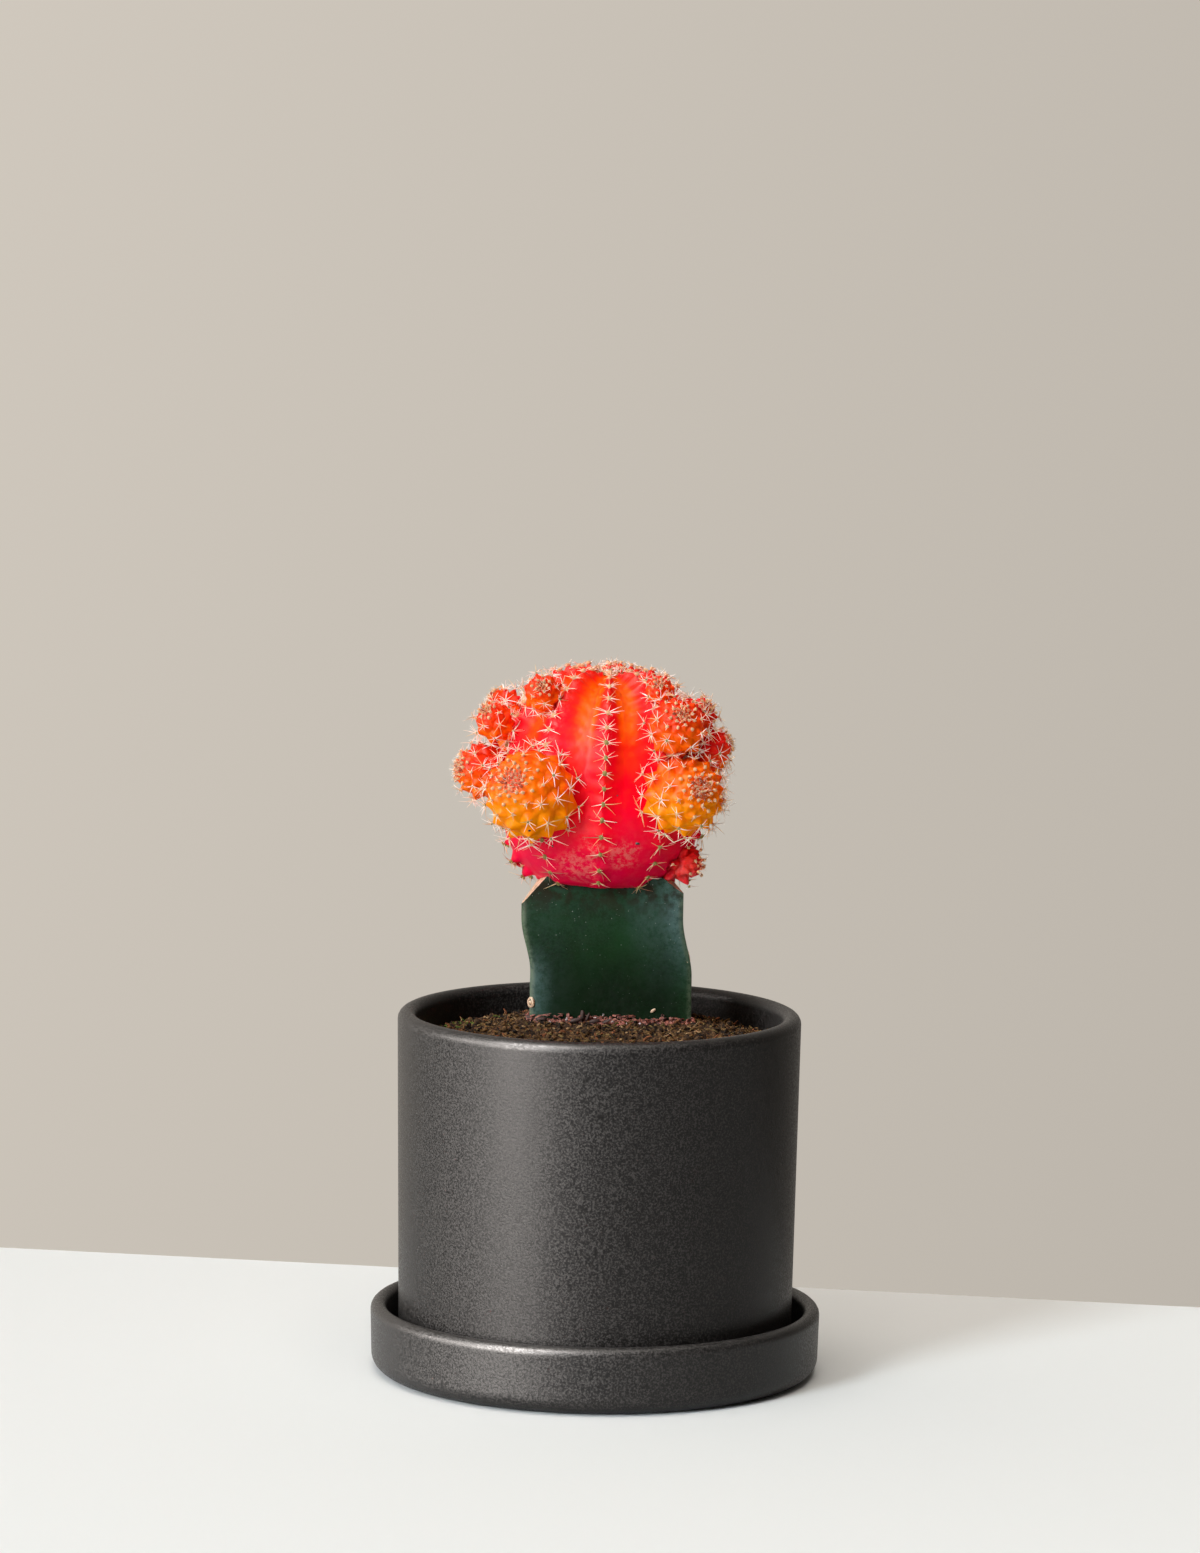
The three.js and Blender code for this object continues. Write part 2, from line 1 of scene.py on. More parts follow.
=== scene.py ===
# A potted moon cactus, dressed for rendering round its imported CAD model: a stoneware pot on its
# saucer, potting mix, a green three-sided rootstock and a grafted red head with seventeen offset
# heads. Shapes are worked out in millimetres and become metres when a piece is made. The origin
# is the middle of the saucer's underside, -Y is the front and +X is the right.
import itertools
import math

import bmesh
import bpy
import numpy as np
from mathutils import Matrix, Vector


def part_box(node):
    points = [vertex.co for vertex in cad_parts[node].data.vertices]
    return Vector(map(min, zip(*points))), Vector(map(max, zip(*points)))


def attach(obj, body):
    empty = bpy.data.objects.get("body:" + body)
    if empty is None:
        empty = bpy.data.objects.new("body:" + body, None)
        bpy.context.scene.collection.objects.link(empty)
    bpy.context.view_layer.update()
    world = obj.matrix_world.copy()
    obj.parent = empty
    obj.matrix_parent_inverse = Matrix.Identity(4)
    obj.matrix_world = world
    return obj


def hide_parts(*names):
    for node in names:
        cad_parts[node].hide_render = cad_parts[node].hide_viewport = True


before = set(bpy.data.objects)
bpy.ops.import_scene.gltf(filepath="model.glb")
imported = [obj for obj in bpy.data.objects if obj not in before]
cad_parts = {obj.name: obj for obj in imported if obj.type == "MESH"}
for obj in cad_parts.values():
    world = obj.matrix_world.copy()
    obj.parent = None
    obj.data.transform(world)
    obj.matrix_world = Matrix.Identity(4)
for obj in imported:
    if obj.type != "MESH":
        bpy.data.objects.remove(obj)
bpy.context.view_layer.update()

MM = 0.001


def box_mm(node):
    """The lowest and the highest corner of a CAD node, in millimetres."""
    return [np.array(corner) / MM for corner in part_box(node)]


UP = np.array([0, 0, 1])
PLAN = [1, 1, 0]
NOWHERE = -1e3
SAUCER_HIGH = box_mm("saucer")[1]
POT_LOW, POT_HIGH = box_mm("pot")
SOIL_LOW = box_mm("soil")[0]
STEM_LOW, STEM_HIGH = box_mm("rootstock")

# Pottery
ROUND_SEGMENTS = 192
ARC_STEPS = 10
RING_GAP = 0.4
DRAIN_RADIUS = 6
FOOT_RECESS = 1
FOOT_BEVEL = 1
SAUCER_FOOT = SAUCER_HIGH[0] - 0.3
SAUCER = {"wall": 4.2, "floor": 4.6, "heel": 4.4, "cove": 3, "foot_width": 6}
POT_FOOT = 51.3
POT = {"wall": 4.8, "floor": 6, "heel": 3, "cove": 4, "foot_width": 4}
POT_INSIDE = POT_HIGH[0] - POT["wall"]

# Strands and lumps
STRAND_STEPS = 5
# How much of a lump's roughness is fine, and how far apart lumps lie in the noise that shapes them
LUMP_GRAIN = 1.3
LUMP_SHIFT = 7.7

# Potting mix
SOIL_AT_WALL = 87.2
SOIL_SINKS_BEHIND = 2.5
SOIL_AT_STEM = 91.2
SOIL_STATIONS = 260
SOIL_RINGS = 70
SOIL_OFF_WALL = 0.1
SOIL_OFF_STEM = 0.15
SOIL_OFF_FOOT = 0.4
SOIL_UNDER_STEM = 0.4
SOIL_CHAMFER = 5
# How far in from the wall and how far below its edge the soil's surface turns down
SOIL_SHOULDER = (0.3, 4)
SOIL_RELIEF = [(6, 0.35), (2.4, 0.5), (1.1, 0.4)]
CRUMBS = 900
CRUMB_RADIUS = (0.3, 1.15)
CRUMB_CLEARANCE = 1.3
FIBRES = 2900
FIBRE_LENGTH = (1.0, 3.6)
FIBRE_RADIUS = (0.18, 0.42)
FIBRE_TAPER = [0.5, 0.9, 1, 0.85, 0.4]
FIBRE_TILT = 0.4
FIBRE_CLEARANCE = 2
FIBRE_OFF_WALL = 0.7

# The collar of coir and bark round the stem
MULCH_SEAT = 4
MULCH_WIDTH = 2.9
MULCH_AT_RIB = 0.25
MULCH_HEIGHT = 1.9
MULCH_CLUMP = 5.5
# Rings of the collar's bed, as shares of its width and of its height
MULCH_BED = [(1, -0.6), (0.8, 0.35), (0.45, 0.65), (0, 0.7), (0, -0.6)]
MULCH_OFF_STEM = 0.1
CHIPS = 420
CHIP_LENGTH = (0.7, 2.1)
CHIP_OFF_STEM = 0.4
# Dark splinters in the front of the collar: where each lies, which way it points, its half sizes
SPLINTERS = [
    ([-4.4, -3.1, 93.6], [-0.1, -0.2, 1], [1.9, 0.7, 0.6]),
    ([-3.1, -3.3, 93.3], [0.35, -0.2, 1], [1.6, 0.5, 0.45]),
    ([-6.2, -3.6, 92.7], [1, -0.2, 0.25], [1.8, 0.7, 0.55]),
    ([-1.2, -4.0, 92.6], [1, -0.1, 0.2], [1.7, 0.6, 0.5]),
    ([1.6, -4.3, 92.5], [1, -0.5, 0.5], [2.2, 0.35, 0.3]),
    ([-15.4, -2.4, 92.7], [1, -0.2, 0.1], [1.5, 0.8, 0.6]),
]
SHREDS = 150
SHRED_LENGTH = (1.6, 5)
SHRED_RADIUS = (0.14, 0.34)
SHRED_TAPER = [0.5, 0.9, 1, 0.85, 0.5]
SHRED_OFF_STEM = 0.35

# Rootstock: a three-sided stem with its third rib at the back
STEM_AXIS = np.array([0.3, 12, 0])
STEM_TOP = STEM_HIGH[2]
STEM_RIB = 24.2
STEM_SHARPNESS = 12
STEM_SIDES = (-90, 30, 150)
STEM_BEND = 2.5
STEM_BEND_FROM = 119
STEM_BEND_TO = 104
STEM_FOOT = STEM_AXIS + [STEM_BEND, 0, 0]
STEM_STATIONS = 240
STEM_LEVELS = 80
STEM_UNDULATION = 0.12
STEM_EDGE_ROUND = 0.35
STEM_SHARP_FROM = 32
SLICE_RIM_FROM = 112
BESIDE_STEM = 0.6
# The slanted slices at the top of the three ribs: the plan angle that the cut faces, its slope,
# and how far from the stem's axis it leaves the flat top
RIB_CUTS = [(184, 49, 15.4), (355, 38, 16.8), (90, 46, 17.2)]
# An old areole's ring on the stem: its middle, the way it faces, and its beads
SCAR_AT = np.array([-17.9, -0.2, 96.6])
SCAR_FACING = [-0.75, -0.66, 0]
SCAR_RADIUS = 0.95
SCAR_BEADS = 14
# Nicks and dry slivers: where each lies, the way it points, the skin's normal, its half sizes
STEM_NICKS = [
    ([13.9, -0.95, 95.1], [0.75, 0, 0.66], [0, -1, 0], [0.85, 0.36, 0.25]),
    ([22.9, 0.6, 109.2], [-0.2, 0.1, 1], [0.87, -0.5, 0], [1.6, 0.42, 0.35]),
    ([22.6, -0.2, 107.6], [-0.22, 0, 1], [0.8, -0.6, 0], [1.2, 0.35, 0.3]),
]

# Mother head, in its own leaning frame with its centre at 0
HEAD_CENTRE = np.array([0.3, 12, 157])
HEAD_LEAN = 2.3
HEAD_RADIUS = 27
HEAD_RISE = 29
HEAD_DROP = 32
HEAD_SQUARENESS = (2.05, 3)
HEAD_BASE = -29.6
CROWN_DIP = 0.14
CROWN_DIP_SPREAD = 17
RIBS = 10
RIB_DEPTH = (0.17, 0.085, 0.012)
RIB_DEPTH_BASE_FROM = 128
RIB_START = 26
RIB_ROUNDNESS = 1.25
RIB_VALLEY = np.array([0.36, 0.55, 0.46, 0.52, 0.45, 0.53, 0.48, 0.56, 0.44, 0.64])
RIB_COLUMNS = 32
HEAD_ROWS = 170
HEAD_SPAN = (168, 1.5)
AREOLE_FIRST = 11.7
AREOLE_STEP = 8.3
AREOLES_PER_RIB = 17
SCALLOP_HEIGHT = (1.1, 0.25)
SCALLOP_FADE = (25, 90)
CHIN_HEIGHT = (0.3, 1.9)
CHIN_SPREAD = (1.8, 1.3)
CHIN_SIDES_FROM = 1.1
HEAD_LUMPS = [(9, 0.3), (2.1, 0.07)]
# Pale corky patches low on the front, as (azimuth, elevation, half width in degrees)
CORK_PATCHES = [(-15, -46, 10), (15, -40, 7), (-6, -34, 5)]

# Offset heads, as (name, place, reach, crown, radius, relief, hue). place and crown are [azimuth,
# elevation] in degrees from the mother head's centre, azimuth 0 at the front and positive to the
# right. reach is centre to centre, and relief is the height of the warts as a share of the radius.
OFFSETS = [
    ("offset_front_left", (-37, -10), 31, (-28, 24), 12.6, 0.12, "orange"),
    ("offset_front_right", (41, -6), 31, (26, 17), 11.4, 0.16, "orange"),
    ("offset_back_right", (134, 2), 31, (140, 14), 10.4, 0.17, "orange"),
    ("offset_back_left", (-135, 10), 31.5, (-142, 24), 9.2, 0.17, "coral"),
    ("offset_right_front", (39, 26), 31.5, (10, 33), 8.6, 0.17, "coral"),
    ("offset_left", (-80, -4), 31, (-66, 8), 8.6, 0.2, "coral"),
    ("offset_back_middle", (-179, -3), 31.5, (-176, 8), 8, 0.18, "orange"),
    ("offset_back_upper", (177, 37), 30.5, (178, 50), 7, 0.18, "coral"),
    ("offset_upper_left", (-72, 20), 32.5, (-39, 42), 5.7, 0.2, "coral"),
    ("offset_right", (61, 15), 30.5, (108, 20), 7, 0.3, "scarlet"),
    ("offset_shoulder_left", (-50, 42), 30, (-4, 26), 5.6, 0.2, "coral"),
    ("offset_upper_right", (59, 31), 31, (42, 40), 5.8, 0.22, "scarlet"),
    ("offset_side_right", (118, -16), 31, (116, -6), 5.6, 0.28, "scarlet"),
    ("offset_side_left", (-112, 25), 31.5, (-108, 34), 5.4, 0.28, "coral"),
    ("offset_shoulder_right", (43, 49), 29, (-4, 36), 4.8, 0.22, "coral"),
    ("offset_lower_right", (66, -46), 31.5, (62, 2), 7.4, 0.42, "scarlet"),
    ("offset_lower_left", (-76, -50), 31.5, (-60, -20), 3.2, 0.34, "scarlet"),
]
WART_SPAN = 165
# Spacing of the warts on the largest head at angles from its crown; smaller heads have smaller
# ones, by a power of their radius
WART_ZONES = ((0, 13, 20, 32, 60, 90), (0.95, 1.2, 2.2, 3.7, 5.8, 7.2))
WART_FULL_RADIUS = 12.6
WART_SIZE_POWER = 0.4
WART_PACKING = 0.87
# Heads with a relief above this have few large pointed lobes, this much larger than warts
LOBED_FROM = 0.3
LOBE_SIZE = 1.5
WART_POINTEDNESS = 1.5
WART_HEIGHT = 1.3
# An offset head's dip at its crown, as its depth and spread, and its lumps
OFFSET_DIP = (0.05, 16)
OFFSET_LUMP = (0.02, 5)
GOLDEN_ANGLE = math.pi * (3 - math.sqrt(5))
# The fineness of the balls that offset heads are made from, and the radius that the finer needs
OFFSET_BALL = 5
FINE_BALL = 6
FINE_BALL_FROM = 8.2
SKIN_GAP = 0.06
PUSHES = 3

# Spines and wool
SPINE_RADIUS = 0.118
SPINE_TIP_SHARE = 0.22
SPINE_ROOT = 0.35
CROWN_TUFTS = 34
CROWN_TUFT_SPAN = 9.5
# Half sizes of the wool pads and lengths of the spines. On an offset head they run from the
# crown outwards.
MOTHER_PAD = np.array([0.55, 0.72, 0.5])
MOTHER_SPINES = (1.8, 4.2)
MOTHER_LEAN = (10, 36)
OFFSET_PADS = np.array([[0.45, 0.53, 0.52], [0.36, 0.42, 0.32]])
OFFSET_SPINES = (1.1, 3.9)
OFFSET_LEAN = (12, 46)
# An areole this deep in another head, or this near the stem's top, bears neither
MOTHER_COVERED_FROM = -0.8
OFFSET_COVERED_FROM = -0.35
ABOVE_STEM_TOP = 0.3
# Bits of dirt and dark scars: the head that each lies on, its azimuth and elevation from that
# head's centre, and its half width
SPECKS = [
    ("scion_body", 22, -33, 0.5), ("scion_body", 63, -50, 1.15), ("scion_body", 63, -44, 0.45),
    ("scion_body", 8, -9, 0.22), ("scion_body", 8, -23, 0.2), ("scion_body", -30, -37, 0.3),
    ("offset_front_left", -1, -46, 0.4), ("offset_upper_right", 28, 24, 0.35),
]


# Small numeric helpers

def radians(degrees):
    return np.deg2rad(degrees)


def unit(vectors):
    return vectors / np.linalg.norm(vectors, axis=-1, keepdims=True)


def mix(start, end, share):
    return start + (end - start) * share


def ease(start, end, value):
    """0 up to start, 1 from end on, and a smooth change between. end may be below start."""
    share = np.clip((value - start) / (end - start), 0, 1)
    return share * share * (3 - 2 * share)


def towards(place):
    """The direction at an azimuth from the front, positive to the right, and an elevation."""
    azimuth, elevation = radians(place)
    return around(math.pi / 2 - elevation, azimuth - math.pi / 2)


def circle_angles(count):
    """Angles evenly round a circle."""
    return 2 * math.pi * np.arange(count) / count


def level(angles):
    """Directions in the plan at angles from +X."""
    return np.stack([np.cos(angles), np.sin(angles), np.zeros_like(angles)], axis=-1)


def around(polar, angles):
    """Directions at polar angles from +Z and at angles round it."""
    return np.sin(polar)[..., None] * level(angles) + np.cos(polar)[..., None] * UP


def polar_in_plan(points, centre):
    """The plan angles and distances of points from a centre."""
    out = points - centre
    return np.arctan2(out[..., 1], out[..., 0]), np.hypot(out[..., 0], out[..., 1])


def lattice(cells, seed):
    """A number between -1 and 1 for each cell of whole-numbered space, the same in every run."""
    x, y, z = (cells[..., axis].astype(np.int64) for axis in range(3))
    mixed = (x * 73856093) ^ (y * 19349663) ^ (z * 83492791) ^ (seed * 50331653)
    mixed = ((mixed ^ (mixed >> 13)) * 1274126177) & 0xFFFFFFFF
    mixed = ((mixed ^ (mixed >> 16)) * 668265263) & 0xFFFFFFFF
    return (mixed >> 8) / float(0x7FFFFF) - 1


def noise(points, size, seed=0):
    """Smooth noise between -1 and 1 whose lumps are about size wide."""
    scaled = points / size
    cell = np.floor(scaled)
    part = scaled - cell
    part = part * part * (3 - 2 * part)
    total = 0
    for corner in itertools.product((0, 1), repeat=3):
        share = np.prod(np.where(corner, part, 1 - part), axis=-1)
        total = total + share * lattice(cell + corner, seed)
    return total


def cross_frames(normals, spins):
    """For each normal, three axes as rows: two across it, turned by the spin, and the normal."""
    spare = np.where(np.abs(normals[:, 2:3]) < 0.8, [[0, 0, 1.0]], [[1.0, 0, 0]])
    side = unit(np.cross(spare, normals))
    other = np.cross(normals, side)
    first = np.cos(spins)[:, None] * side + np.sin(spins)[:, None] * other
    return np.stack([first, np.cross(normals, first), normals], axis=1)


# Shapes as arrays of points and faces

def ring_faces(rings, count, closed=False):
    """Quads between rings of points, which run counterclockwise seen from the last ring."""
    here = np.arange(count)
    following = (here + 1) % count
    low = np.arange(rings if closed else rings - 1)[:, None] * count
    high = (low + count) % (rings * count)
    corners = [low + here, low + following, high + following, high + here]
    return np.stack(corners, axis=-1).reshape(-1, 4)


def loft_faces(rings, count):
    """The faces of a closed loft, with a flat face at each end."""
    first = np.arange(count)[::-1][None]
    last = (np.arange(count) + (rings - 1) * count)[None]
    return [ring_faces(rings, count), first, last]


def arc(radius, height, size, start, end):
    """Points of a round in a half section, as [radius, height], from a start to an end angle."""
    angles = radians(np.linspace(start, end, ARC_STEPS + 1))
    return np.stack([radius + size * np.cos(angles), height + size * np.sin(angles)], axis=1)


def turned(section):
    """Rings of points, one for each [radius, height] of a half section.

    A long straight gets a ring near each end, so that the rounds beside it don't shade into it.
    """
    corners = np.concatenate([np.atleast_2d(part) for part in section])
    rings = [corners[0]]
    for start, end in zip(corners, corners[1:]):
        along = unit(end - start) * RING_GAP
        if np.linalg.norm(end - start) > 4 * RING_GAP:
            rings += [start + along, end - along]
        rings.append(end)
    radius, height = np.array(rings).T[..., None, None]
    return radius * level(circle_angles(ROUND_SEGMENTS)) + height * UP


def ball(subdivisions):
    """The points and triangles of a round ball of radius 1."""
    made = bmesh.new()
    bmesh.ops.create_icosphere(made, subdivisions=subdivisions, radius=1)
    points = np.array([vertex.co for vertex in made.verts])
    faces = np.array([[vertex.index for vertex in face.verts] for face in made.faces])
    made.free()
    return points, faces


BALLS = {detail: ball(detail) for detail in (2, 3, OFFSET_BALL, FINE_BALL)}


def copies(faces, points_each, count):
    """The faces of many like parts whose points follow each other."""
    first = np.arange(count)[:, None, None] * points_each
    return (faces[None] + first).reshape(-1, faces.shape[1])


def strands(paths, radii, sides=4):
    """Closed tubes along paths, an array of strand by point by 3, and their faces."""
    count, steps = paths.shape[:2]
    frames = cross_frames(unit(paths[:, -1] - paths[:, 0]), np.zeros(count))
    circle = level(circle_angles(sides)) @ frames
    points = paths[:, :, None] + radii[:, :, None, None] * circle[:, None]
    return points, [copies(part, steps * sides, count) for part in loft_faces(steps, sides)]


def lumps(centres, frames, sizes, detail, roughness, seed):
    """Copies of a ball with their own axes and half sizes, made uneven by a roughness."""
    points, faces = BALLS[detail]
    spread = points * LUMP_GRAIN + np.arange(len(centres))[:, None, None] * LUMP_SHIFT
    swollen = points * (1 + roughness * noise(spread, 1, seed))[..., None]
    placed = centres[:, None] + (swollen * np.atleast_2d(sizes)[:, None]) @ frames
    return placed, [copies(faces, len(points), len(centres))]


def dressed(name, mesh, looks, replaced, tints):
    """An object from a mesh. tints are numbers at its points that its looks read."""
    for look in looks:
        mesh.materials.append(look)
    for label, values in tints.items():
        layer = mesh.attributes.new(label, "FLOAT", "POINT")
        layer.data.foreach_set("value", np.asarray(values, np.float32))
    made = bpy.data.objects.new(name, mesh)
    bpy.context.scene.collection.objects.link(made)
    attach(made, "root")
    if replaced:
        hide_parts(replaced)


def piece(name, parts, looks, replaced=None, tints=None):
    """A piece from parts: the points and the faces of each and, where its copies differ, the
    number of each copy's look."""
    points, faces, marks, count = [], [], [], 0
    for placed, shapes, *kinds in parts:
        kinds = kinds[0] if kinds else [0]
        for shape in shapes:
            faces.append(shape + count)
            marks.append(np.repeat(kinds, len(shape) // len(kinds)))
        points.append(placed.reshape(-1, 3) * MM)
        count += len(points[-1])
    corners = np.concatenate([shape.ravel() for shape in faces])
    sizes = np.concatenate([np.full(len(shape), shape.shape[1]) for shape in faces])
    mesh = bpy.data.meshes.new(name)
    mesh.vertices.add(count)
    mesh.loops.add(len(corners))
    mesh.polygons.add(len(sizes))
    mesh.vertices.foreach_set("co", np.concatenate(points).astype(np.float32).ravel())
    mesh.loops.foreach_set("vertex_index", corners.astype(np.int32))
    mesh.polygons.foreach_set("loop_start", np.append(0, np.cumsum(sizes)[:-1]).astype(np.int32))
    mesh.polygons.foreach_set("material_index", np.concatenate(marks).astype(np.int32))
    mesh.update(calc_edges=True)
    mesh.validate()
    mesh.shade_smooth()
    dressed(name, mesh, looks, replaced, tints or {})


# Materials

class Wires:
    """Short ways to add nodes to a tree and to wire them."""

    def __init__(self, tree):
        self.tree = tree

    def feed(self, node, inputs):
        """Sets a node's inputs, or links those whose value is another node's output."""
        for name, value in inputs.items():
            socket = node.inputs[name]
            if isinstance(value, bpy.types.NodeSocket):
                self.tree.links.new(value, socket)
            else:
                socket.default_value = (*value, 1) if socket.type == "RGBA" else value

    def node(self, kind, inputs, output=0, **settings):
        """An output of a new node with these inputs and settings."""
        node = self.tree.nodes.new(f"ShaderNode{kind}")
        for name, value in settings.items():
            setattr(node, name, value)
        self.feed(node, inputs)
        return node.outputs[output]

    def times(self, first, second):
        return self.node("Math", {0: first, 1: second}, operation="MULTIPLY")


class Look(Wires):
    """A material in the making. Sizes of patterns are in millimetres."""

    def __init__(self, name, colour, roughness, specular):
        self.material = bpy.data.materials.new(name)
        self.material.use_nodes = True
        super().__init__(self.material.node_tree)
        self.place = self.node("TexCoord", {}, "Object")
        self.shaded({"Base Color": colour, "Roughness": roughness, "Specular IOR Level": specular})

    def shaded(self, inputs):
        """The material, once these inputs of its shader are set."""
        self.feed(self.tree.nodes["Principled BSDF"], inputs)
        return self.material

    def noise(self, size, detail=2.0, roughness=0.5, stretch=None):
        place = self.place
        if stretch:
            place = self.node("Mapping", {"Vector": place, "Scale": stretch})
        inputs = {"Vector": place, "Scale": 1 / (size * MM), "Detail": detail, "Roughness": roughness}
        return self.node("TexNoise", inputs)

    def number(self, label):
        return self.node("Attribute", {}, "Fac", attribute_name=label)

    def ranged(self, value, low, high, start=0.0, end=1.0):
        """A value's stretch from low to high, as start to end."""
        inputs = dict(enumerate((value, low, high, start, end)))
        return self.node("MapRange", inputs, interpolation_type="SMOOTHSTEP")

    def blend(self, share, first, second):
        return self.node("Mix", {0: share, 6: first, 7: second}, 2, data_type="RGBA")

    def layered(self, colour, layers):
        """A colour with others laid over it, each by its share."""
        for share, over in layers:
            colour = self.blend(share, colour, over)
        return colour

    def ramp(self, share, stops):
        output = self.node("ValToRGB", {"Fac": share})
        marks = output.node.color_ramp.elements
        while len(marks) < len(stops):
            marks.new(0.5)
        for mark, (place, colour) in zip(marks, stops):
            mark.position = place
            mark.color = (*colour, 1)
        return output

    def bump(self, height, distance, strength, over=None):
        """A bump of a height, over another bump where one is given."""
        inputs = {"Height": height, "Distance": distance * MM, "Strength": strength}
        if over:
            inputs["Normal"] = over
        return self.node("Bump", inputs)


def plain(name, colour, roughness, specular=0.3):
    return Look(name, colour, roughness, specular).material


def stoneware(name, specular):
    """Matte charcoal stoneware with a fine grain that breaks up its sheen."""
    look = Look(name, (0.01, 0.009, 0.009), 0.42, specular)
    grain = look.noise(0.52, 3, 0.8)
    body = look.blend(look.noise(14, 2), (0.0032, 0.0026, 0.0023), (0.0058, 0.0047, 0.0043))
    fleck = look.ranged(grain, 0.47, 0.6, 0, 0.9)
    return look.shaded({
        "Base Color": look.blend(fleck, body, (0.034, 0.0297, 0.0274)),
        "Roughness": look.ranged(grain, 0.42, 0.58, 0.3, 0.6),
        "Normal": look.bump(grain, 0.085, 0.65),
    })


def crumbly(name, colour, finish, pattern, stops, relief, bump):
    """A rough stuff whose colour runs through stops with one noise and that another roughens."""
    look = Look(name, colour, *finish)
    return look.shaded({
        "Base Color": look.ramp(look.noise(*pattern), stops),
        "Normal": look.bump(look.noise(*relief), *bump),
    })


def stem_skin():
    """Dark green waxy skin with a grey-blue bloom and small pale flecks. It is lighter along the rib
    edges with painted sheen, partly laid in the bloom, and darker low down with painted shade.
    """
    look = Look("stem_skin", (0.01, 0.035, 0.012), 0.42, 0.04)
    mottle = look.noise(1.4, 5, 0.72)
    green = look.ramp(look.noise(13, 3), [
        (0.3, (0.004, 0.016, 0.004)), (0.55, (0.0055, 0.029, 0.006)), (0.75, (0.008, 0.043, 0.009)),
    ])
    streak = look.ranged(look.noise(3.2, 3, 0.5, (1, 1, 0.18)), 0.45, 0.75, 0, 0.3)
    grain = look.ranged(look.noise(0.55, 3, 0.8), 0.42, 0.6, 0, 0.5)
    # Grey-blue bloom, which on the rib edges also stands in as a painted sheen.
    bloom = look.times(look.number("bloom"), look.ranged(mottle, 0.3, 0.62, 0.45, 1))
    # Painted sheen: a pale grey-green band along the rounded rib edges.
    rim = look.times(look.number("rim"), look.ranged(mottle, 0.35, 0.6, 0.3, 1))
    stain = look.times(look.number("stain"), look.ranged(look.noise(2.6, 4), 0.38, 0.6))
    cells = look.node("TexVoronoi", {"Vector": look.place, "Scale": 1 / (1.25 * MM)})
    flecks = look.times(look.ranged(cells, 0.13, 0.06), look.number("dust"))
    patchy = look.ranged(look.noise(2.2, 2), 0.42, 0.58)
    return look.shaded({
        "Base Color": look.layered(green, [
            (streak, (0.012, 0.045, 0.022)),
            (grain, (0.012, 0.048, 0.015)),
            # Painted shade: darker green low down on the stem.
            (look.number("deep"), (0.0016, 0.0065, 0.0014)),
            (bloom, (0.12, 0.2, 0.19)),
            (rim, (0.13, 0.17, 0.1)),
            (stain, (0.02, 0.013, 0.006)),
            (look.times(flecks, patchy), (0.34, 0.36, 0.31)),
        ]),
        "Roughness": look.ranged(mottle, 0.3, 0.7, 0.34, 0.5),
        "Normal": look.bump(mottle, 0.08, 0.5),
    })


FLESH = {
    "flesh_red": [(0, (0.98, 0.0, 0.014)), (0.45, (0.98, 0.022, 0.005)), (1, (0.95, 0.108, 0.0))],
    "flesh_orange": [(0, (0.82, 0.008, 0.003)), (0.4, (0.96, 0.11, 0.0)), (1, (1.0, 0.31, 0.0))],
    "flesh_coral": [(0, (0.7, 0.002, 0.004)), (0.45, (0.92, 0.04, 0.002)), (1, (0.97, 0.145, 0.0))],
    "flesh_scarlet": [(0, (0.62, 0.0, 0.006)), (0.5, (0.88, 0.012, 0.008)), (1, (0.96, 0.07, 0.01))],
}


def flesh(slot):
    """Waxy, slightly translucent skin. warm runs from red to orange along the head's own colours,
    blush and cork bring in magenta and pale corky patches, and painted shade turns creases deep red."""
    look = Look(slot, FLESH[slot][1][1], 0.42, 0.04)
    mottle = look.noise(3.4, 4, 0.6)
    drift = look.ranged(mottle, 0.3, 0.7, -0.14, 0.14)
    warm = look.node("Math", {0: look.number("warm"), 1: drift}, operation="ADD", use_clamp=True)
    patch = look.ranged(look.noise(1.6, 5, 0.75), 0.44, 0.6)
    return look.shaded({
        "Base Color": look.layered(look.ramp(warm, FLESH[slot]), [
            (look.number("blush"), (0.79, 0.0, 0.05)),
            (look.times(look.number("cork"), patch), (0.8, 0.15, 0.13)),
            # Painted shade: deep red laid over creases and the grooves between warts.
            (look.number("crease_shade"), (0.5, 0.002, 0.005)),
        ]),
        "Roughness": look.ranged(mottle, 0.3, 0.7, 0.36, 0.5),
        "Subsurface Weight": 0.22,
        "Subsurface Radius": (1.0, 0.28, 0.1),
        "Subsurface Scale": 2.2 * MM,
        "Normal": look.bump(mottle, 0.2, 0.4, look.bump(look.noise(0.8, 3), 0.05, 0.5)),
    })


POT_STONEWARE = stoneware("stoneware", 0.2)
SAUCER_STONEWARE = stoneware("stoneware_saucer", 0.29)
SOIL = crumbly("potting_mix", (0.05, 0.03, 0.015), (0.95, 0.05), (1.5, 4, 0.75), [
    (0.34, (0.005, 0.0028, 0.0015)), (0.47, (0.038, 0.018, 0.007)),
    (0.57, (0.11, 0.052, 0.019)), (0.7, (0.25, 0.14, 0.055)),
], (0.6, 3), (0.35, 0.8))
BARK = crumbly("coir_bark", (0.2, 0.07, 0.04), (0.7, 0.15), (1.2, 4, 0.7), [
    (0.36, (0.045, 0.01, 0.007)), (0.46, (0.19, 0.042, 0.025)),
    (0.56, (0.39, 0.105, 0.065)), (0.7, (0.6, 0.27, 0.19)),
], (0.35, 3, 0.5, (1, 1, 3)), (0.2, 0.7))
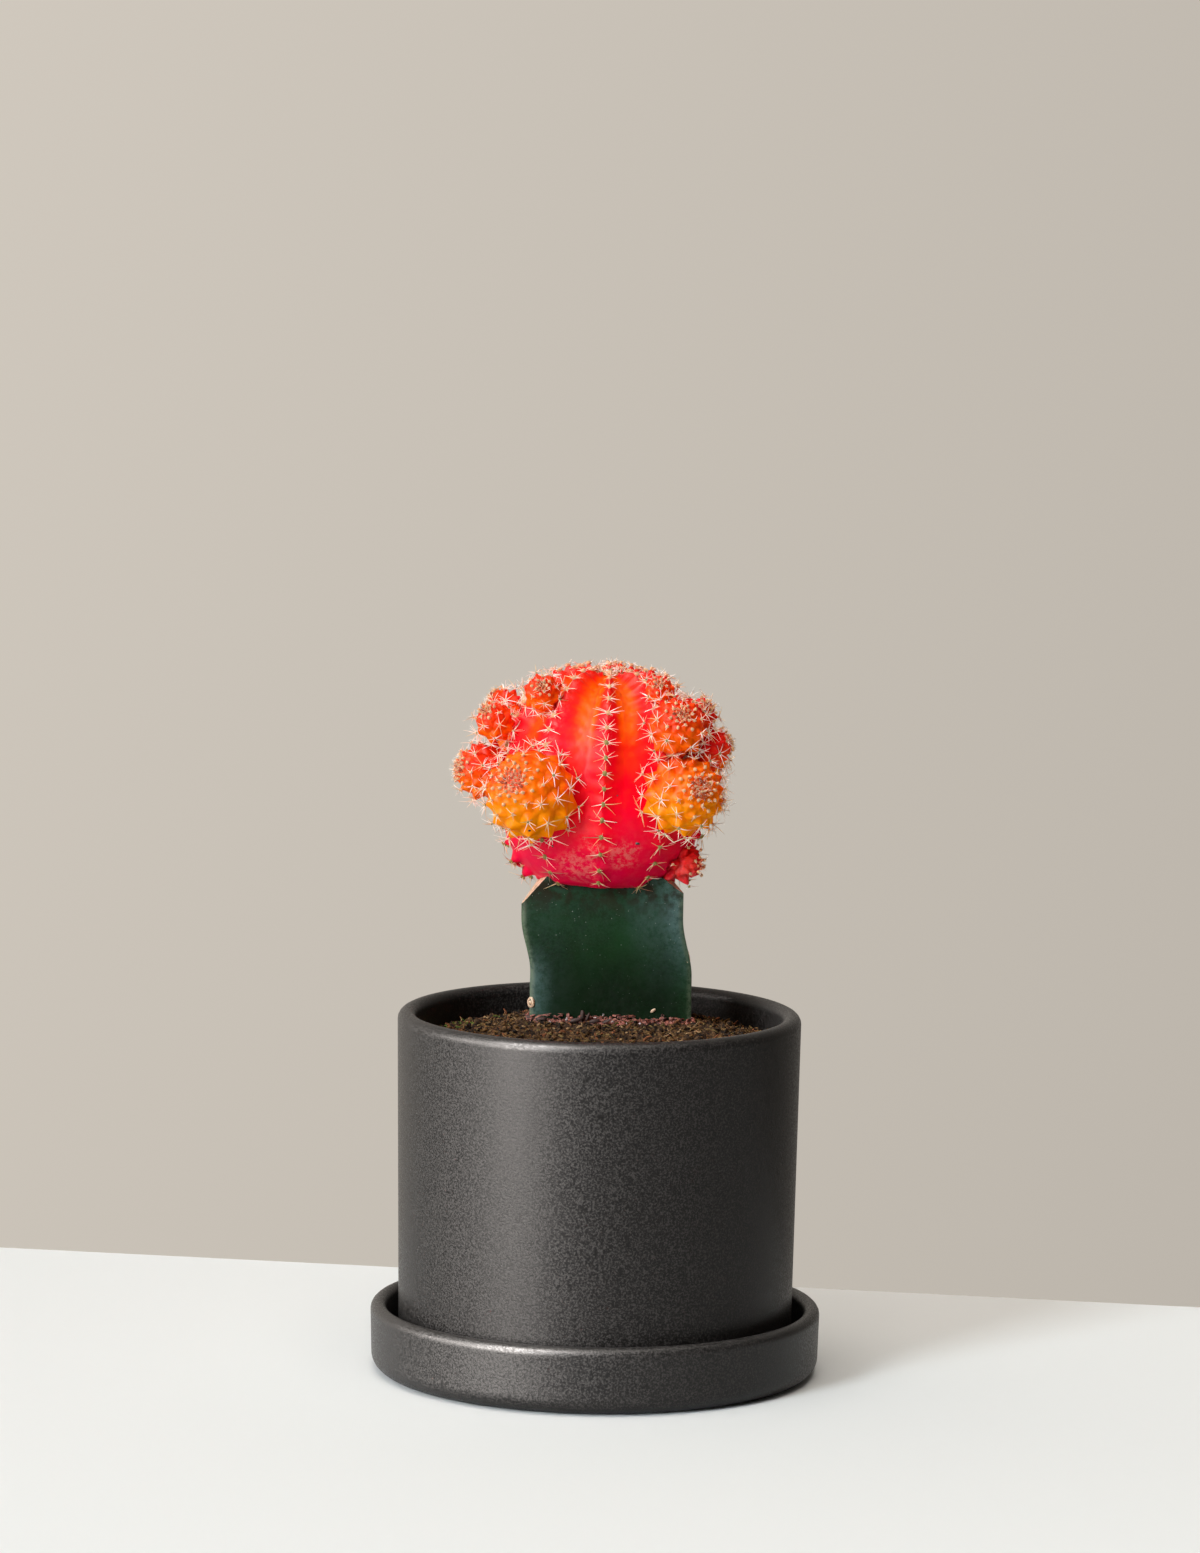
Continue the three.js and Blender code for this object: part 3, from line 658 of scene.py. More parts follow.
BARK_LOOKS = [
    BARK,
    plain("bark_dark", (0.045, 0.014, 0.01), 0.7, 0.1),
    plain("bark_glint", (0.75, 0.62, 0.62), 0.6, 0.3),
]
CHIP_SHARES = (0.82, 0.11, 0.07)
DARK, GLINT = 1, 2
STEM = stem_skin()
CORK = crumbly("cork", (0.55, 0.33, 0.18), (0.8, 0.25), (1.4, 4, 0.65), [
    (0.3, (0.4, 0.2, 0.1)), (0.5, (0.74, 0.46, 0.28)), (0.72, (0.9, 0.68, 0.47)),
], (0.7, 4), (0.3, 0.8))
FLESH_LOOKS = {slot: flesh(slot) for slot in FLESH}
FIBRE_LOOKS = [
    plain("fibre_dark", (0.014, 0.007, 0.003), 0.9, 0.05),
    plain("fibre_brown", (0.14, 0.068, 0.02), 0.85, 0.05),
    plain("fibre_olive", (0.16, 0.1, 0.032), 0.85, 0.05),
    plain("fibre_tan", (0.33, 0.19, 0.085), 0.8, 0.05),
    plain("fibre_red", (0.2, 0.065, 0.022), 0.85, 0.05),
    plain("fibre_moss", (0.09, 0.125, 0.015), 0.9, 0.05),
]
FIBRE_SHARES = (0.33, 0.3, 0.19, 0.07, 0.11)
MOSS = 5
SPINE_LOOKS = [
    plain("spine_pale", (0.95, 0.68, 0.52), 0.45),
    plain("spine_straw", (0.76, 0.47, 0.2), 0.5),
    plain("spine_brown", (0.4, 0.16, 0.075), 0.55),
    plain("spine_white", (0.96, 0.86, 0.78), 0.45),
]
WOOL_LOOKS = [
    plain("wool_cream", (0.74, 0.41, 0.21), 0.95, 0.05),
    plain("wool_olive", (0.3, 0.24, 0.07), 0.95, 0.1),
    plain("wool_brown", (0.4, 0.075, 0.03), 0.95, 0.05),
    plain("wool_rose", (0.74, 0.2, 0.085), 0.95, 0.05),
]
PALE, STRAW, BROWN, WHITE = range(4)
CREAM, OLIVE, UMBER, ROSE = range(4)
DIRT = plain("dark_speck", (0.012, 0.009, 0.008), 0.7)


# Pottery

def vessel(rim, height, foot, wall, floor, heel, cove, foot_width):
    """Rings of a turned vessel, from its foot ring up over the lip and down inside to the drain."""
    lip = wall / 2
    ring = foot - heel
    return turned([
        [DRAIN_RADIUS, FOOT_RECESS],
        [ring - foot_width - FOOT_BEVEL, FOOT_RECESS],
        [ring - foot_width, 0],
        arc(ring, heel, heel, -90, 0),
        arc(rim - lip, height - lip, lip, 0, 180),
        arc(foot - wall - cove, floor + cove, cove, 0, -90),
        [DRAIN_RADIUS, floor],
    ])


def make_saucer():
    rings = vessel(SAUCER_HIGH[0], SAUCER_HIGH[2], SAUCER_FOOT, **SAUCER)
    parts = [(rings, loft_faces(*rings.shape[:2]))]
    piece("saucer_stoneware", parts, [SAUCER_STONEWARE], "saucer")


def make_pot():
    base = POT_LOW[2]
    rings = vessel(POT_HIGH[0], POT_HIGH[2] - base, POT_FOOT, **POT) + base * UP
    parts = [(rings, [ring_faces(*rings.shape[:2], closed=True)])]
    piece("pot_stoneware", parts, [POT_STONEWARE], "pot")


# Rootstock

def stem_bend(height):
    """How far the stem's axis is bent to the right at a height."""
    return STEM_BEND * (1 - ease(STEM_BEND_TO, STEM_BEND_FROM, height))


def stem_reach(angle):
    """How far the stem reaches from its axis at a plan angle: flat sides and rounded ribs."""
    flat = STEM_RIB * 0.5 * 2 ** (1 / STEM_SHARPNESS)
    facing = [np.maximum(0, np.cos(angle - radians(side))) for side in STEM_SIDES]
    return flat / sum(share ** STEM_SHARPNESS for share in facing) ** (1 / STEM_SHARPNESS)


def stem_outline(height, margin, count):
    """A level outline of the stem, grown by a margin."""
    angles = circle_angles(count)
    reach = stem_reach(angles) + margin
    return level(angles) * reach[:, None] + STEM_AXIS + [stem_bend(height), 0, height]


def rib_share(angle):
    """0 in the middle of a flat side and 1 on a rib, at a plan angle."""
    off = np.abs((np.degrees(angle) - 90 + 60) % 120 - 60)
    return 1 - off / 60


def stem_ceiling(points):
    """The height of the stem's top under or over each point, far down where there is no stem."""
    height = np.full(len(points), STEM_TOP)
    for facing, slope, start in RIB_CUTS:
        out = (points - STEM_AXIS) @ level(radians(facing))
        height = np.minimum(height, STEM_TOP - (out - start) * math.tan(radians(slope)))
    angles, reach = polar_in_plan(points, STEM_AXIS)
    return np.where(reach > stem_reach(angles) + BESIDE_STEM, NOWHERE, height)


def make_stem():
    heights = np.linspace(STEM_LOW[2], STEM_TOP, STEM_LEVELS)
    rings = np.stack([stem_outline(height, 0, STEM_STATIONS) for height in heights])
    away = unit((rings - STEM_AXIS) * PLAN)
    rings += away * (STEM_UNDULATION * noise(rings, 9, 3))[..., None]
    made = bmesh.new()
    corners = [made.verts.new(point) for point in rings.reshape(-1, 3)]
    for part in loft_faces(STEM_LEVELS, STEM_STATIONS):
        for face in part:
            made.faces.new([corners[corner] for corner in face])
    for facing, slope, start in RIB_CUTS:
        slice_rib(made, level(radians(facing)), radians(slope), start)
    round_slices(made)
    points = np.array([vertex.co for vertex in made.verts])
    bmesh.ops.scale(made, vec=(MM, MM, MM), verts=made.verts)
    mesh = bpy.data.meshes.new("stem_green")
    made.to_mesh(mesh)
    made.free()
    mesh.shade_smooth()
    mesh.set_sharp_from_angle(angle=radians(STEM_SHARP_FROM))
    dressed("stem_green", mesh, [STEM, CORK], "rootstock", stem_tints(points))


def slice_rib(made, out, slope, start):
    """Cuts a rib's top off along its slanted plane and closes it with one corky face."""
    edge = STEM_AXIS + STEM_TOP * UP + out * start
    normal = out * math.sin(slope) + UP * math.cos(slope)
    everything = list(made.verts) + list(made.edges) + list(made.faces)
    cut = bmesh.ops.bisect_plane(made, geom=everything, dist=1e-4, plane_co=Vector(edge),
                                 plane_no=Vector(normal), clear_outer=True)
    rim = [item for item in cut["geom_cut"] if isinstance(item, bmesh.types.BMEdge)]
    for face in bmesh.ops.contextual_create(made, geom=rim)["faces"]:
        face.material_index = 1


def round_slices(made):
    """Softens the edges that the knife left at the top of the stem."""
    made.normal_update()
    sharp = [
        edge for edge in made.edges
        if len(edge.link_faces) == 2 and edge.calc_face_angle() > radians(30)
        and min(vertex.co.z for vertex in edge.verts) > SLICE_RIM_FROM
    ]
    bmesh.ops.bevel(made, geom=sharp, offset=STEM_EDGE_ROUND, segments=2, affect="EDGES",
                    clamp_overlap=True)


def stem_tints(points):
    """Where the stem's painted shade low down, its bloom, the painted sheen on its rib edges, its
    brown stains and its dust lie.
    """
    z = points[:, 2]
    bend = stem_bend(z)[:, None] * [1, 0, 0]
    angle = polar_in_plan(points, STEM_AXIS + bend)[0]
    rib = rib_share(angle)
    right = ease(0.1, 1, np.cos(angle - radians(-30)))
    upper = ease(96, 122, z)
    edge = ease(0.8, 1, rib)
    middle = ease(90, 96, z) * ease(114, 101, z)
    # On the rib edges the bloom is partly a painted sheen: at mid height on the left, high up on the
    # right.
    bloom = edge * mix(0.7 * middle, 0.6 * upper, right)
    bloom += 0.22 * ease(0.3, 0.8, rib) * right * upper + 0.06 * ease(0.5, 0.9, rib) * (1 - right)
    bloom += 0.07 * ease(108, 124, z)
    return {
        # Painted shade: the stem's green darkens towards its foot, away from the rib edges.
        "deep": 0.66 * ease(119, 98, z) * (1 - edge),
        "bloom": np.clip(bloom, 0, 0.9),
        # Painted sheen along the rounded rib edges.
        "rim": 0.9 * ease(0.94, 0.99, rib),
        "stain": 0.9 * ease(117, 128, z),
        "dust": 0.12 + 0.7 * ease(104, 126, z),
    }


def stem_scars():
    """Small tan marks on the stem: an old areole's ring, a nick and two dry slivers."""
    facing = unit(np.array(SCAR_FACING))
    axes = cross_frames(facing[None], np.zeros(1))
    beads = SCAR_AT + SCAR_RADIUS * level(circle_angles(SCAR_BEADS)) @ axes[0] * [1, 1, 1.15]
    hollow = SCAR_AT[None] - facing * 0.15
    nicks, slants, normals, sizes = np.array(STEM_NICKS).transpose(1, 0, 2)
    slants, normals = unit(slants), unit(normals)
    frames = np.stack([slants, np.cross(normals, slants), normals], axis=1)
    parts = [
        lumps(beads, axes, 0.42, 2, 0.25, 5),
        lumps(hollow, axes, 0.62, 2, 0.2, 6),
        lumps(nicks, frames, sizes, 3, 0.2, 8),
    ]
    piece("stem_scars", parts, [CORK])


# Potting mix

def beyond_stem(points):
    """How far outside the stem's foot points of the plan lie."""
    angles, reach = polar_in_plan(points, STEM_FOOT)
    return reach - stem_reach(angles)


def soil_height(points):
    """The height of the soil's surface at points of the plan, crumbs and all."""
    to_wall = POT_INSIDE - np.hypot(points[..., 0], points[..., 1])
    past_seat = np.maximum(beyond_stem(points) - MULCH_SEAT, 0)
    share = past_seat / np.maximum(past_seat + np.maximum(to_wall, 0), 0.1)
    at_wall = SOIL_AT_WALL - SOIL_SINKS_BEHIND * ease(-5, 38, points[..., 1])
    height = mix(SOIL_AT_STEM, at_wall, share)
    for seed, (size, tall) in enumerate(SOIL_RELIEF):
        height = height + tall * (1 - 2 * np.abs(noise(points * PLAN, size, 20 + seed)))
    return height


def make_soil():
    wall = POT_INSIDE - SOIL_OFF_WALL
    foot = POT_FOOT - POT["wall"] - SOIL_OFF_FOOT
    low = SOIL_LOW[2]
    inwards, down = SOIL_SHOULDER
    circle = level(circle_angles(SOIL_STATIONS))
    hole = stem_outline(SOIL_AT_STEM, SOIL_OFF_STEM, SOIL_STATIONS)
    surface = mix(hole, circle * wall, np.linspace(1, 0, SOIL_RINGS)[:, None, None])
    surface[..., 2] = soil_height(surface)
    rings = np.stack([
        circle * (foot - SOIL_CHAMFER) + low * UP,
        circle * foot + (low + SOIL_CHAMFER) * UP,
        circle * (wall - inwards) + (SOIL_AT_WALL - SOIL_SINKS_BEHIND - down) * UP,
        *surface,
        stem_outline(STEM_LOW[2] - SOIL_UNDER_STEM, SOIL_OFF_STEM, SOIL_STATIONS),
    ])
    piece("soil_surface", [(rings, loft_faces(*rings.shape[:2]))], [SOIL], "soil")


def scattered(random, count, clearance):
    """Random points of the soil's plan between the stem and the pot's wall."""
    wall = POT_INSIDE - clearance
    found = np.empty((0, 3))
    while len(found) < count:
        tries = random.uniform(-wall, wall, (4 * count, 2))
        tries = np.concatenate([tries, np.zeros((len(tries), 1))], axis=1)
        kept = (np.hypot(tries[:, 0], tries[:, 1]) < wall) & (beyond_stem(tries) > clearance)
        found = np.concatenate([found, tries[kept]])
    return found[:count]


def soil_crumbs():
    random = np.random.default_rng(31)
    places = scattered(random, CRUMBS, CRUMB_CLEARANCE)
    radius = mix(*CRUMB_RADIUS, random.random(CRUMBS) ** 2.2)
    places[:, 2] = soil_height(places) + 0.25 * radius
    frames = cross_frames(unit(random.normal(size=(CRUMBS, 3))), random.uniform(0, 6, CRUMBS))
    sizes = radius[:, None] * random.uniform(0.6, 1.15, (CRUMBS, 3))
    piece("soil_crumbs", [lumps(places, frames, sizes, 2, 0.4, 32)], [SOIL])


def lying_strands(random, places, lengths, lift):
    """Curved paths that lie on the soil round the given places."""
    count = len(places)
    heading = random.uniform(0, 2 * math.pi, (count, 1))
    curl = random.normal(0, 1.3, (count, 1))
    along = np.linspace(-0.5, 0.5, STRAND_STEPS)
    steps = level(heading + curl * along * 2)
    path = np.cumsum(steps, axis=1) * lengths[:, None, None] / STRAND_STEPS
    path += (places - path.mean(axis=1))[:, None]
    tilt = random.normal(0, FIBRE_TILT, (count, 1)) * along
    arch = lift * random.uniform(0.3, 1.6, (count, 1)) * (0.25 - along ** 2)
    base = soil_height(places)[:, None] + random.uniform(-0.1, 0.3, (count, 1))
    path[..., 2] = base + (tilt + arch) * lengths[:, None]
    return path


def kept_in_pot(paths):
    """Paths whose points beyond the pot's inner wall are moved back inside."""
    out = np.hypot(paths[..., 0], paths[..., 1])
    share = np.minimum(1, (POT_INSIDE - FIBRE_OFF_WALL) / np.maximum(out, 1e-6))
    paths[..., :2] *= share[..., None]
    return paths


def soil_fibres():
    random = np.random.default_rng(41)
    places = scattered(random, FIBRES, FIBRE_CLEARANCE)
    lengths = mix(*FIBRE_LENGTH, random.random(FIBRES) ** 1.6)
    paths = kept_in_pot(lying_strands(random, places, lengths, 0.35))
    radii = mix(*FIBRE_RADIUS, random.random(FIBRES) ** 1.5)[:, None] * FIBRE_TAPER
    kinds = random.choice(len(FIBRE_SHARES), FIBRES, p=FIBRE_SHARES)
    mossy = ease(-16, -34, places[:, 0]) * ease(-5, 18, places[:, 1])
    kinds = np.where(random.random(FIBRES) < 0.35 * mossy, MOSS, kinds)
    piece("soil_fibres", [(*strands(paths, radii), kinds)], FIBRE_LOOKS)


def collar_width(angle):
    """How wide the mulch lies at a plan angle: broad along the flat sides, narrow at the ribs."""
    return MULCH_WIDTH * mix(1, MULCH_AT_RIB, ease(0.72, 1, rib_share(angle)))


def collar_places(random, count):
    """Random places on a band round the foot of the stem, and how far out in it each lies."""
    angles = random.uniform(0, 2 * math.pi, count)
    out = random.random(count)
    reach = stem_reach(angles) + CHIP_OFF_STEM + collar_width(angles) * out
    return STEM_FOOT + level(angles) * reach[:, None], angles, out


def mulch_top(places, share):
    """The height at places of a share of the mulch, which lies in clumps."""
    clump = 1 + 0.9 * noise(places * PLAN, MULCH_CLUMP, 55)
    return SOIL_AT_STEM + MULCH_HEIGHT * clump * share


def mulch_bed():
    """The rough ring of coir that the bits lie on."""
    wide = collar_width(circle_angles(SOIL_STATIONS))
    rings = np.stack([
        stem_outline(SOIL_AT_STEM + MULCH_HEIGHT * tall, MULCH_OFF_STEM + share * wide, SOIL_STATIONS)
        for share, tall in MULCH_BED
    ])
    ragged = noise(rings[0] * PLAN, 2.2, 52)[:, None] * unit((rings[0] - STEM_FOOT) * PLAN)
    lumpy = noise(rings[1:4], 1.1, 53)[..., None] * UP
    rings[0] += 0.6 * ragged
    rings[1:3] += 0.5 * ragged
    rings[1:4] += 0.4 * lumpy
    return rings, [ring_faces(*rings.shape[:2], closed=True)]


def make_mulch():
    """A collar of coir and bark bits: a rough bed with chips and a few splinters on it."""
    random = np.random.default_rng(51)
    places, angles, out = collar_places(random, CHIPS)
    places[:, 2] = mulch_top(places, 0.8 - 0.6 * out) + random.uniform(-0.1, 0.4, CHIPS)
    up = unit(0.5 * level(angles) + UP + random.normal(0, 0.35, (CHIPS, 3)))
    frames = cross_frames(up, random.uniform(0, 2 * math.pi, CHIPS))
    kinds = random.choice(len(CHIP_SHARES), CHIPS, p=CHIP_SHARES)
    lengths = mix(*CHIP_LENGTH, random.random(CHIPS) ** 1.8) * np.where(kinds == GLINT, 0.45, 1)
    places[:, 2] += np.where(kinds == GLINT, 0.35, 0)
    widths = 0.28 * lengths * random.uniform(0.6, 1.2, CHIPS)
    sizes = np.stack([0.5 * lengths, widths, random.uniform(0.2, 0.5, CHIPS)], axis=-1)
    spots, leans, halves = np.array(SPLINTERS).transpose(1, 0, 2)
    upright = cross_frames(unit(leans), np.zeros(len(leans)))[:, [2, 0, 1]]
    chips = lumps(np.concatenate([places, spots]), np.concatenate([frames, upright]),
                  np.concatenate([sizes, halves]), 2, 0.45, 54)
    kinds = np.append(kinds, np.full(len(spots), DARK))
    piece("mulch_bits", [mulch_bed(), (*chips, kinds)], BARK_LOOKS, "coir_mulch")


def mulch_shreds():
    random = np.random.default_rng(61)
    places, angles, out = collar_places(random, SHREDS)
    lengths = mix(*SHRED_LENGTH, random.random(SHREDS) ** 2)
    turns = angles + math.pi / 2 + random.normal(0, 0.55, SHREDS)
    heading = level(turns) + random.normal(0, 0.18, (SHREDS, 1)) * UP
    along = lengths[:, None] * np.linspace(-0.5, 0.5, STRAND_STEPS)
    paths = places[:, None] + heading[:, None] * along[..., None]
    angles, reach = polar_in_plan(paths, STEM_FOOT)
    inside = np.maximum(stem_reach(angles) + SHRED_OFF_STEM - reach, 0)
    paths += level(angles) * inside[..., None]
    base = mulch_top(places, 0.95 - 0.75 * out) + random.uniform(-0.1, 0.5, SHREDS)
    paths[..., 2] += base[:, None]
    radii = random.uniform(*SHRED_RADIUS, SHREDS)[:, None] * SHRED_TAPER
    piece("mulch_shreds", [strands(paths, radii)], [BARK])


# Heads

LEAN = np.array(Matrix.Rotation(radians(HEAD_LEAN), 3, "Y"))


def head_to_world(points):
    """Points of the mother head's leaning frame in the row frame, in millimetres."""
    return points @ LEAN.T + HEAD_CENTRE


def world_to_head(points):
    return (points - HEAD_CENTRE) @ LEAN


def above_stem(points):
    """Head points moved up to clear the stem's top."""
    placed = head_to_world(points)
    placed[:, 2] = np.maximum(placed[:, 2], stem_ceiling(placed) + SKIN_GAP)
    return world_to_head(placed)


class Head:
    """A head whose skin lies at one distance from its centre in every direction."""

    def on_skin(self, directions):
        return self.centre + directions * self.skin(directions)[:, None]

    def depth(self, points):
        """How deep points lie in this head, below 0 outside it."""
        away = points - self.centre
        distance = np.maximum(np.linalg.norm(away, axis=-1), 1e-6)
        near = distance < self.size
        deep = np.full(len(points), NOWHERE)
        deep[near] = self.skin(away[near] / distance[near, None]) - distance[near]
        return deep

    def pushed_out(self, points):
        """Points that lie in this head, moved out to just clear its skin."""
        deep = np.maximum(self.depth(points) + SKIN_GAP, 0)
        return points + unit(points - self.centre) * deep[:, None]


def crest_radius(polar):
    """From the mother head's centre to the crest of its ribs at a polar angle from the crown."""
    above = polar < math.pi / 2
    power = np.where(above, *HEAD_SQUARENESS)
    tall = np.where(above, HEAD_RISE, HEAD_DROP)
    wide = (np.abs(np.sin(polar)) / HEAD_RADIUS) ** power
    high = (np.abs(np.cos(polar)) / tall) ** power
    dip = CROWN_DIP * np.exp(-((polar / radians(CROWN_DIP_SPREAD)) ** 2))
    return (wide + high) ** (-1 / power) * (1 - dip)


def rib_depth(polar):
    crown, waist, base = RIB_DEPTH
    share = np.clip(polar / radians(90), 0, 1)
    below = np.clip((polar - radians(90)) / radians(RIB_DEPTH_BASE_FROM - 90), 0, 1)
    return mix(mix(crown, waist, share), base, below) * ease(0, radians(RIB_START), polar)


def rib_fall(turn):
    """0 on the crests and 1 in the valleys, at a turn from the front rib counted in ribs."""
    part = turn % 1
    valley = RIB_VALLEY[np.floor(turn).astype(int) % RIBS]
    return np.where(part < valley, part / valley, (1 - part) / (1 - valley))


def areole_wave(polar, turn):
    """How far a place is from the nearest areole along its rib, in steps from -0.5 to 0.5."""
    nearest_rib = np.round(turn).astype(int) % RIBS
    first = radians(AREOLE_FIRST + 0.5 * AREOLE_STEP * (nearest_rib % 2))
    steps = (polar - first) / radians(AREOLE_STEP)
    return steps - np.round(steps)


class Mother(Head):
    name = "scion_body"
    centre = np.zeros(3)
    size = 40

    def polar_and_turn(self, directions):
        """The angles of directions from the crown, and their turns from the front rib in ribs."""
        polar = np.arccos(np.clip(directions[:, 2], -1, 1))
        turn = (np.arctan2(directions[:, 1], directions[:, 0]) + math.pi / 2) * RIBS / (2 * math.pi)
        return polar, turn

    def skin(self, directions):
        polar, turn = self.polar_and_turn(directions)
        fall = rib_fall(turn)
        crest = crest_radius(polar)
        radius = crest * (1 - rib_depth(polar) * np.sin(0.5 * math.pi * fall) ** RIB_ROUNDNESS)
        wave = areole_wave(polar, turn)
        scallop = mix(*SCALLOP_HEIGHT, ease(*radians(SCALLOP_FADE), polar))
        scallop *= ease(0, radians(20), polar) * (1 - fall) ** 0.8
        radius -= scallop * (1 - np.cos(2 * math.pi * wave)) / 2
        along = wave * radians(AREOLE_STEP) * crest
        across = (turn - np.round(turn)) * 2 * math.pi / RIBS * crest * np.sin(polar)
        chin = np.exp(-((across / CHIN_SPREAD[0]) ** 2) - ((along / CHIN_SPREAD[1]) ** 2))
        ribs_off = np.abs((turn + RIBS / 2) % RIBS - RIBS / 2)
        side_low = ease(CHIN_SIDES_FROM, 2, ribs_off) * ease(radians(100), radians(125), polar)
        radius += mix(*CHIN_HEIGHT, side_low) * chin * ease(radians(14), radians(30), polar)
        smooth = directions * crest[:, None]
        for seed, (size, high) in enumerate(HEAD_LUMPS):
            radius += high * noise(smooth, size, 71 + seed)
        return radius

    def areoles(self):
        """Directions of the areoles, rib by rib."""
        found = []
        for rib, step in itertools.product(range(RIBS), range(AREOLES_PER_RIB)):
            polar = AREOLE_FIRST + AREOLE_STEP * (step + 0.5 * (rib % 2))
            found.append(towards((360 * rib / RIBS, 90 - polar)))
        return np.array(found)

    def shape(self):
        part = np.linspace(0, 1, RIB_COLUMNS // 2, endpoint=False)
        turns = np.ravel([
            [rib + valley * part, rib + valley + (1 - valley) * part]
            for rib, valley in enumerate(RIB_VALLEY)
        ])
        polar = radians(np.linspace(*HEAD_SPAN, HEAD_ROWS))[:, None]
        directions = around(polar, 2 * math.pi * turns / RIBS - math.pi / 2).reshape(-1, 3)
        points = self.on_skin(directions)
        points[:, 2] = np.maximum(points[:, 2], HEAD_BASE)
        return above_stem(points), loft_faces(HEAD_ROWS, len(turns)), directions

    def tints(self, directions, points):
        polar, turn = self.polar_and_turn(directions)
        degrees = np.degrees(polar)
        fall = rib_fall(turn)
        valley = ease(0.25, 0.85, fall)
        warm = valley * ease(98, 52, degrees) + 0.4 * ease(70, 25, degrees)
        warm += 0.22 * noise(points, 7, 73) * ease(110, 60, degrees)
        blush = 0.9 * ease(102, 142, degrees + 9 * noise(points, 8, 74))
        cork = 0.06 * ease(108, 122, degrees) + 0.4 * ease(0.35, 0.05, fall) * ease(98, 60, degrees)
        ragged = 3 * noise(points, 2.5, 75)
        for azimuth, elevation, width in CORK_PATCHES:
            off = np.degrees(np.arccos(np.clip(directions @ towards((azimuth, elevation)), -1, 1)))
            cork += 0.75 * ease(1.3 * width, 0.4 * width, off + ragged)
        # Painted shade: the bottoms of the rib valleys near the crown are darkened to deep red.
        crease_shade = 0.3 * ease(0.9, 1, fall) * ease(72, 50, degrees)
        return {"warm": np.clip(warm, 0, 1), "blush": blush, "cork": np.clip(cork, 0, 1), "crease_shade": crease_shade}


class Offset(Head):
    def __init__(self, name, place, reach, crown, radius, relief, hue):
        self.name, self.radius, self.relief, self.hue = name, radius, relief, hue
        self.centre = towards(place) * reach
        self.crown = towards(crown)
        self.size = 1.1 * radius
        self.warts, self.polars, self.spacing = self.packed_warts()

    def packed_warts(self):
        """Directions of the warts, packed like seeds round the crown, with their angles from it
        and their spacings. Each takes an area that grows with its distance from the crown."""
        small = (self.radius / WART_FULL_RADIUS) ** WART_SIZE_POWER / self.radius
        small *= LOBE_SIZE if self.relief > LOBED_FROM else 1
        polars, spacings = [], []
        polar = 0.45 * WART_ZONES[1][0] * small
        while polar < radians(WART_SPAN):
            spacing = small * np.interp(math.degrees(polar), *WART_ZONES)
            polars.append(polar)
            spacings.append(spacing)
            polar += WART_PACKING * spacing ** 2 / (2 * math.pi * math.sin(polar))
        local = around(np.array(polars), np.arange(len(polars)) * GOLDEN_ANGLE)
        axes = cross_frames(self.crown[None], np.zeros(1))[0]
        return local @ axes, np.array(polars), np.array(spacings)

    def nearest(self, directions):
        """The nearest wart to each direction, and 1 on its tip to 0 where it meets the next."""
        angles = np.arccos(np.clip(directions @ self.warts.T, -1, 1))
        first, second = np.partition(angles, 1, axis=1)[:, :2].T
        return np.argmin(angles, axis=1), (second - first) / (second + first)

    def from_crown(self, directions):
        return np.arccos(np.clip(directions @ self.crown, -1, 1))

    def skin(self, directions):
        nearest, edge = self.nearest(directions)
        share = self.spacing[nearest] / self.spacing.max()
        tall = WART_HEIGHT * self.relief * share
        fall = 1 - edge ** WART_POINTEDNESS
        deep, spread = OFFSET_DIP
        dip = deep * np.exp(-((self.from_crown(directions) / radians(spread)) ** 2))
        high, size = OFFSET_LUMP
        lump = high * noise(directions * self.radius, size, 81)
        return self.radius * (1 - tall * fall - dip + lump)

    def shape(self, bigger):
        directions, faces = BALLS[FINE_BALL if self.radius > FINE_BALL_FROM else OFFSET_BALL]
        points = self.on_skin(directions)
        for head in bigger * PUSHES:
            points = head.pushed_out(points)
        return above_stem(points), [faces], directions

    def tints(self, directions, points, others):
        edge = self.nearest(directions)[1]
        polar = np.degrees(self.from_crown(directions))
        # Painted shade: flesh close to another head's skin is darkened to deep red and made less
        # orange.
        crease_shade_share = ease(-1.6, 0, np.max([head.depth(points) for head in others], axis=0))
        low = ease(0.5, -0.6, directions[:, 2])
        warm = 0.42 + 0.5 * low + 0.15 * noise(directions * self.radius, 5, 82)
        warm -= 0.45 * ease(0.35, 0.85, edge) * ease(45, 85, polar) * ease(1.1, 0.2, low)
        warm -= 0.25 * ease(20, 5, polar)
        below = ease(-18, -27, points[:, 2])
        # Painted shade also falls in the grooves between warts.
        crease_shade = 0.5 * crease_shade_share + 0.06 * ease(0.16, 0, edge) * ease(20, 60, polar)
        return {"warm": np.clip(warm * (1 - 0.8 * crease_shade_share), 0, 1), "blush": 0.6 * below,
                "cork": 0.5 * below, "crease_shade": np.clip(crease_shade, 0, 1)}


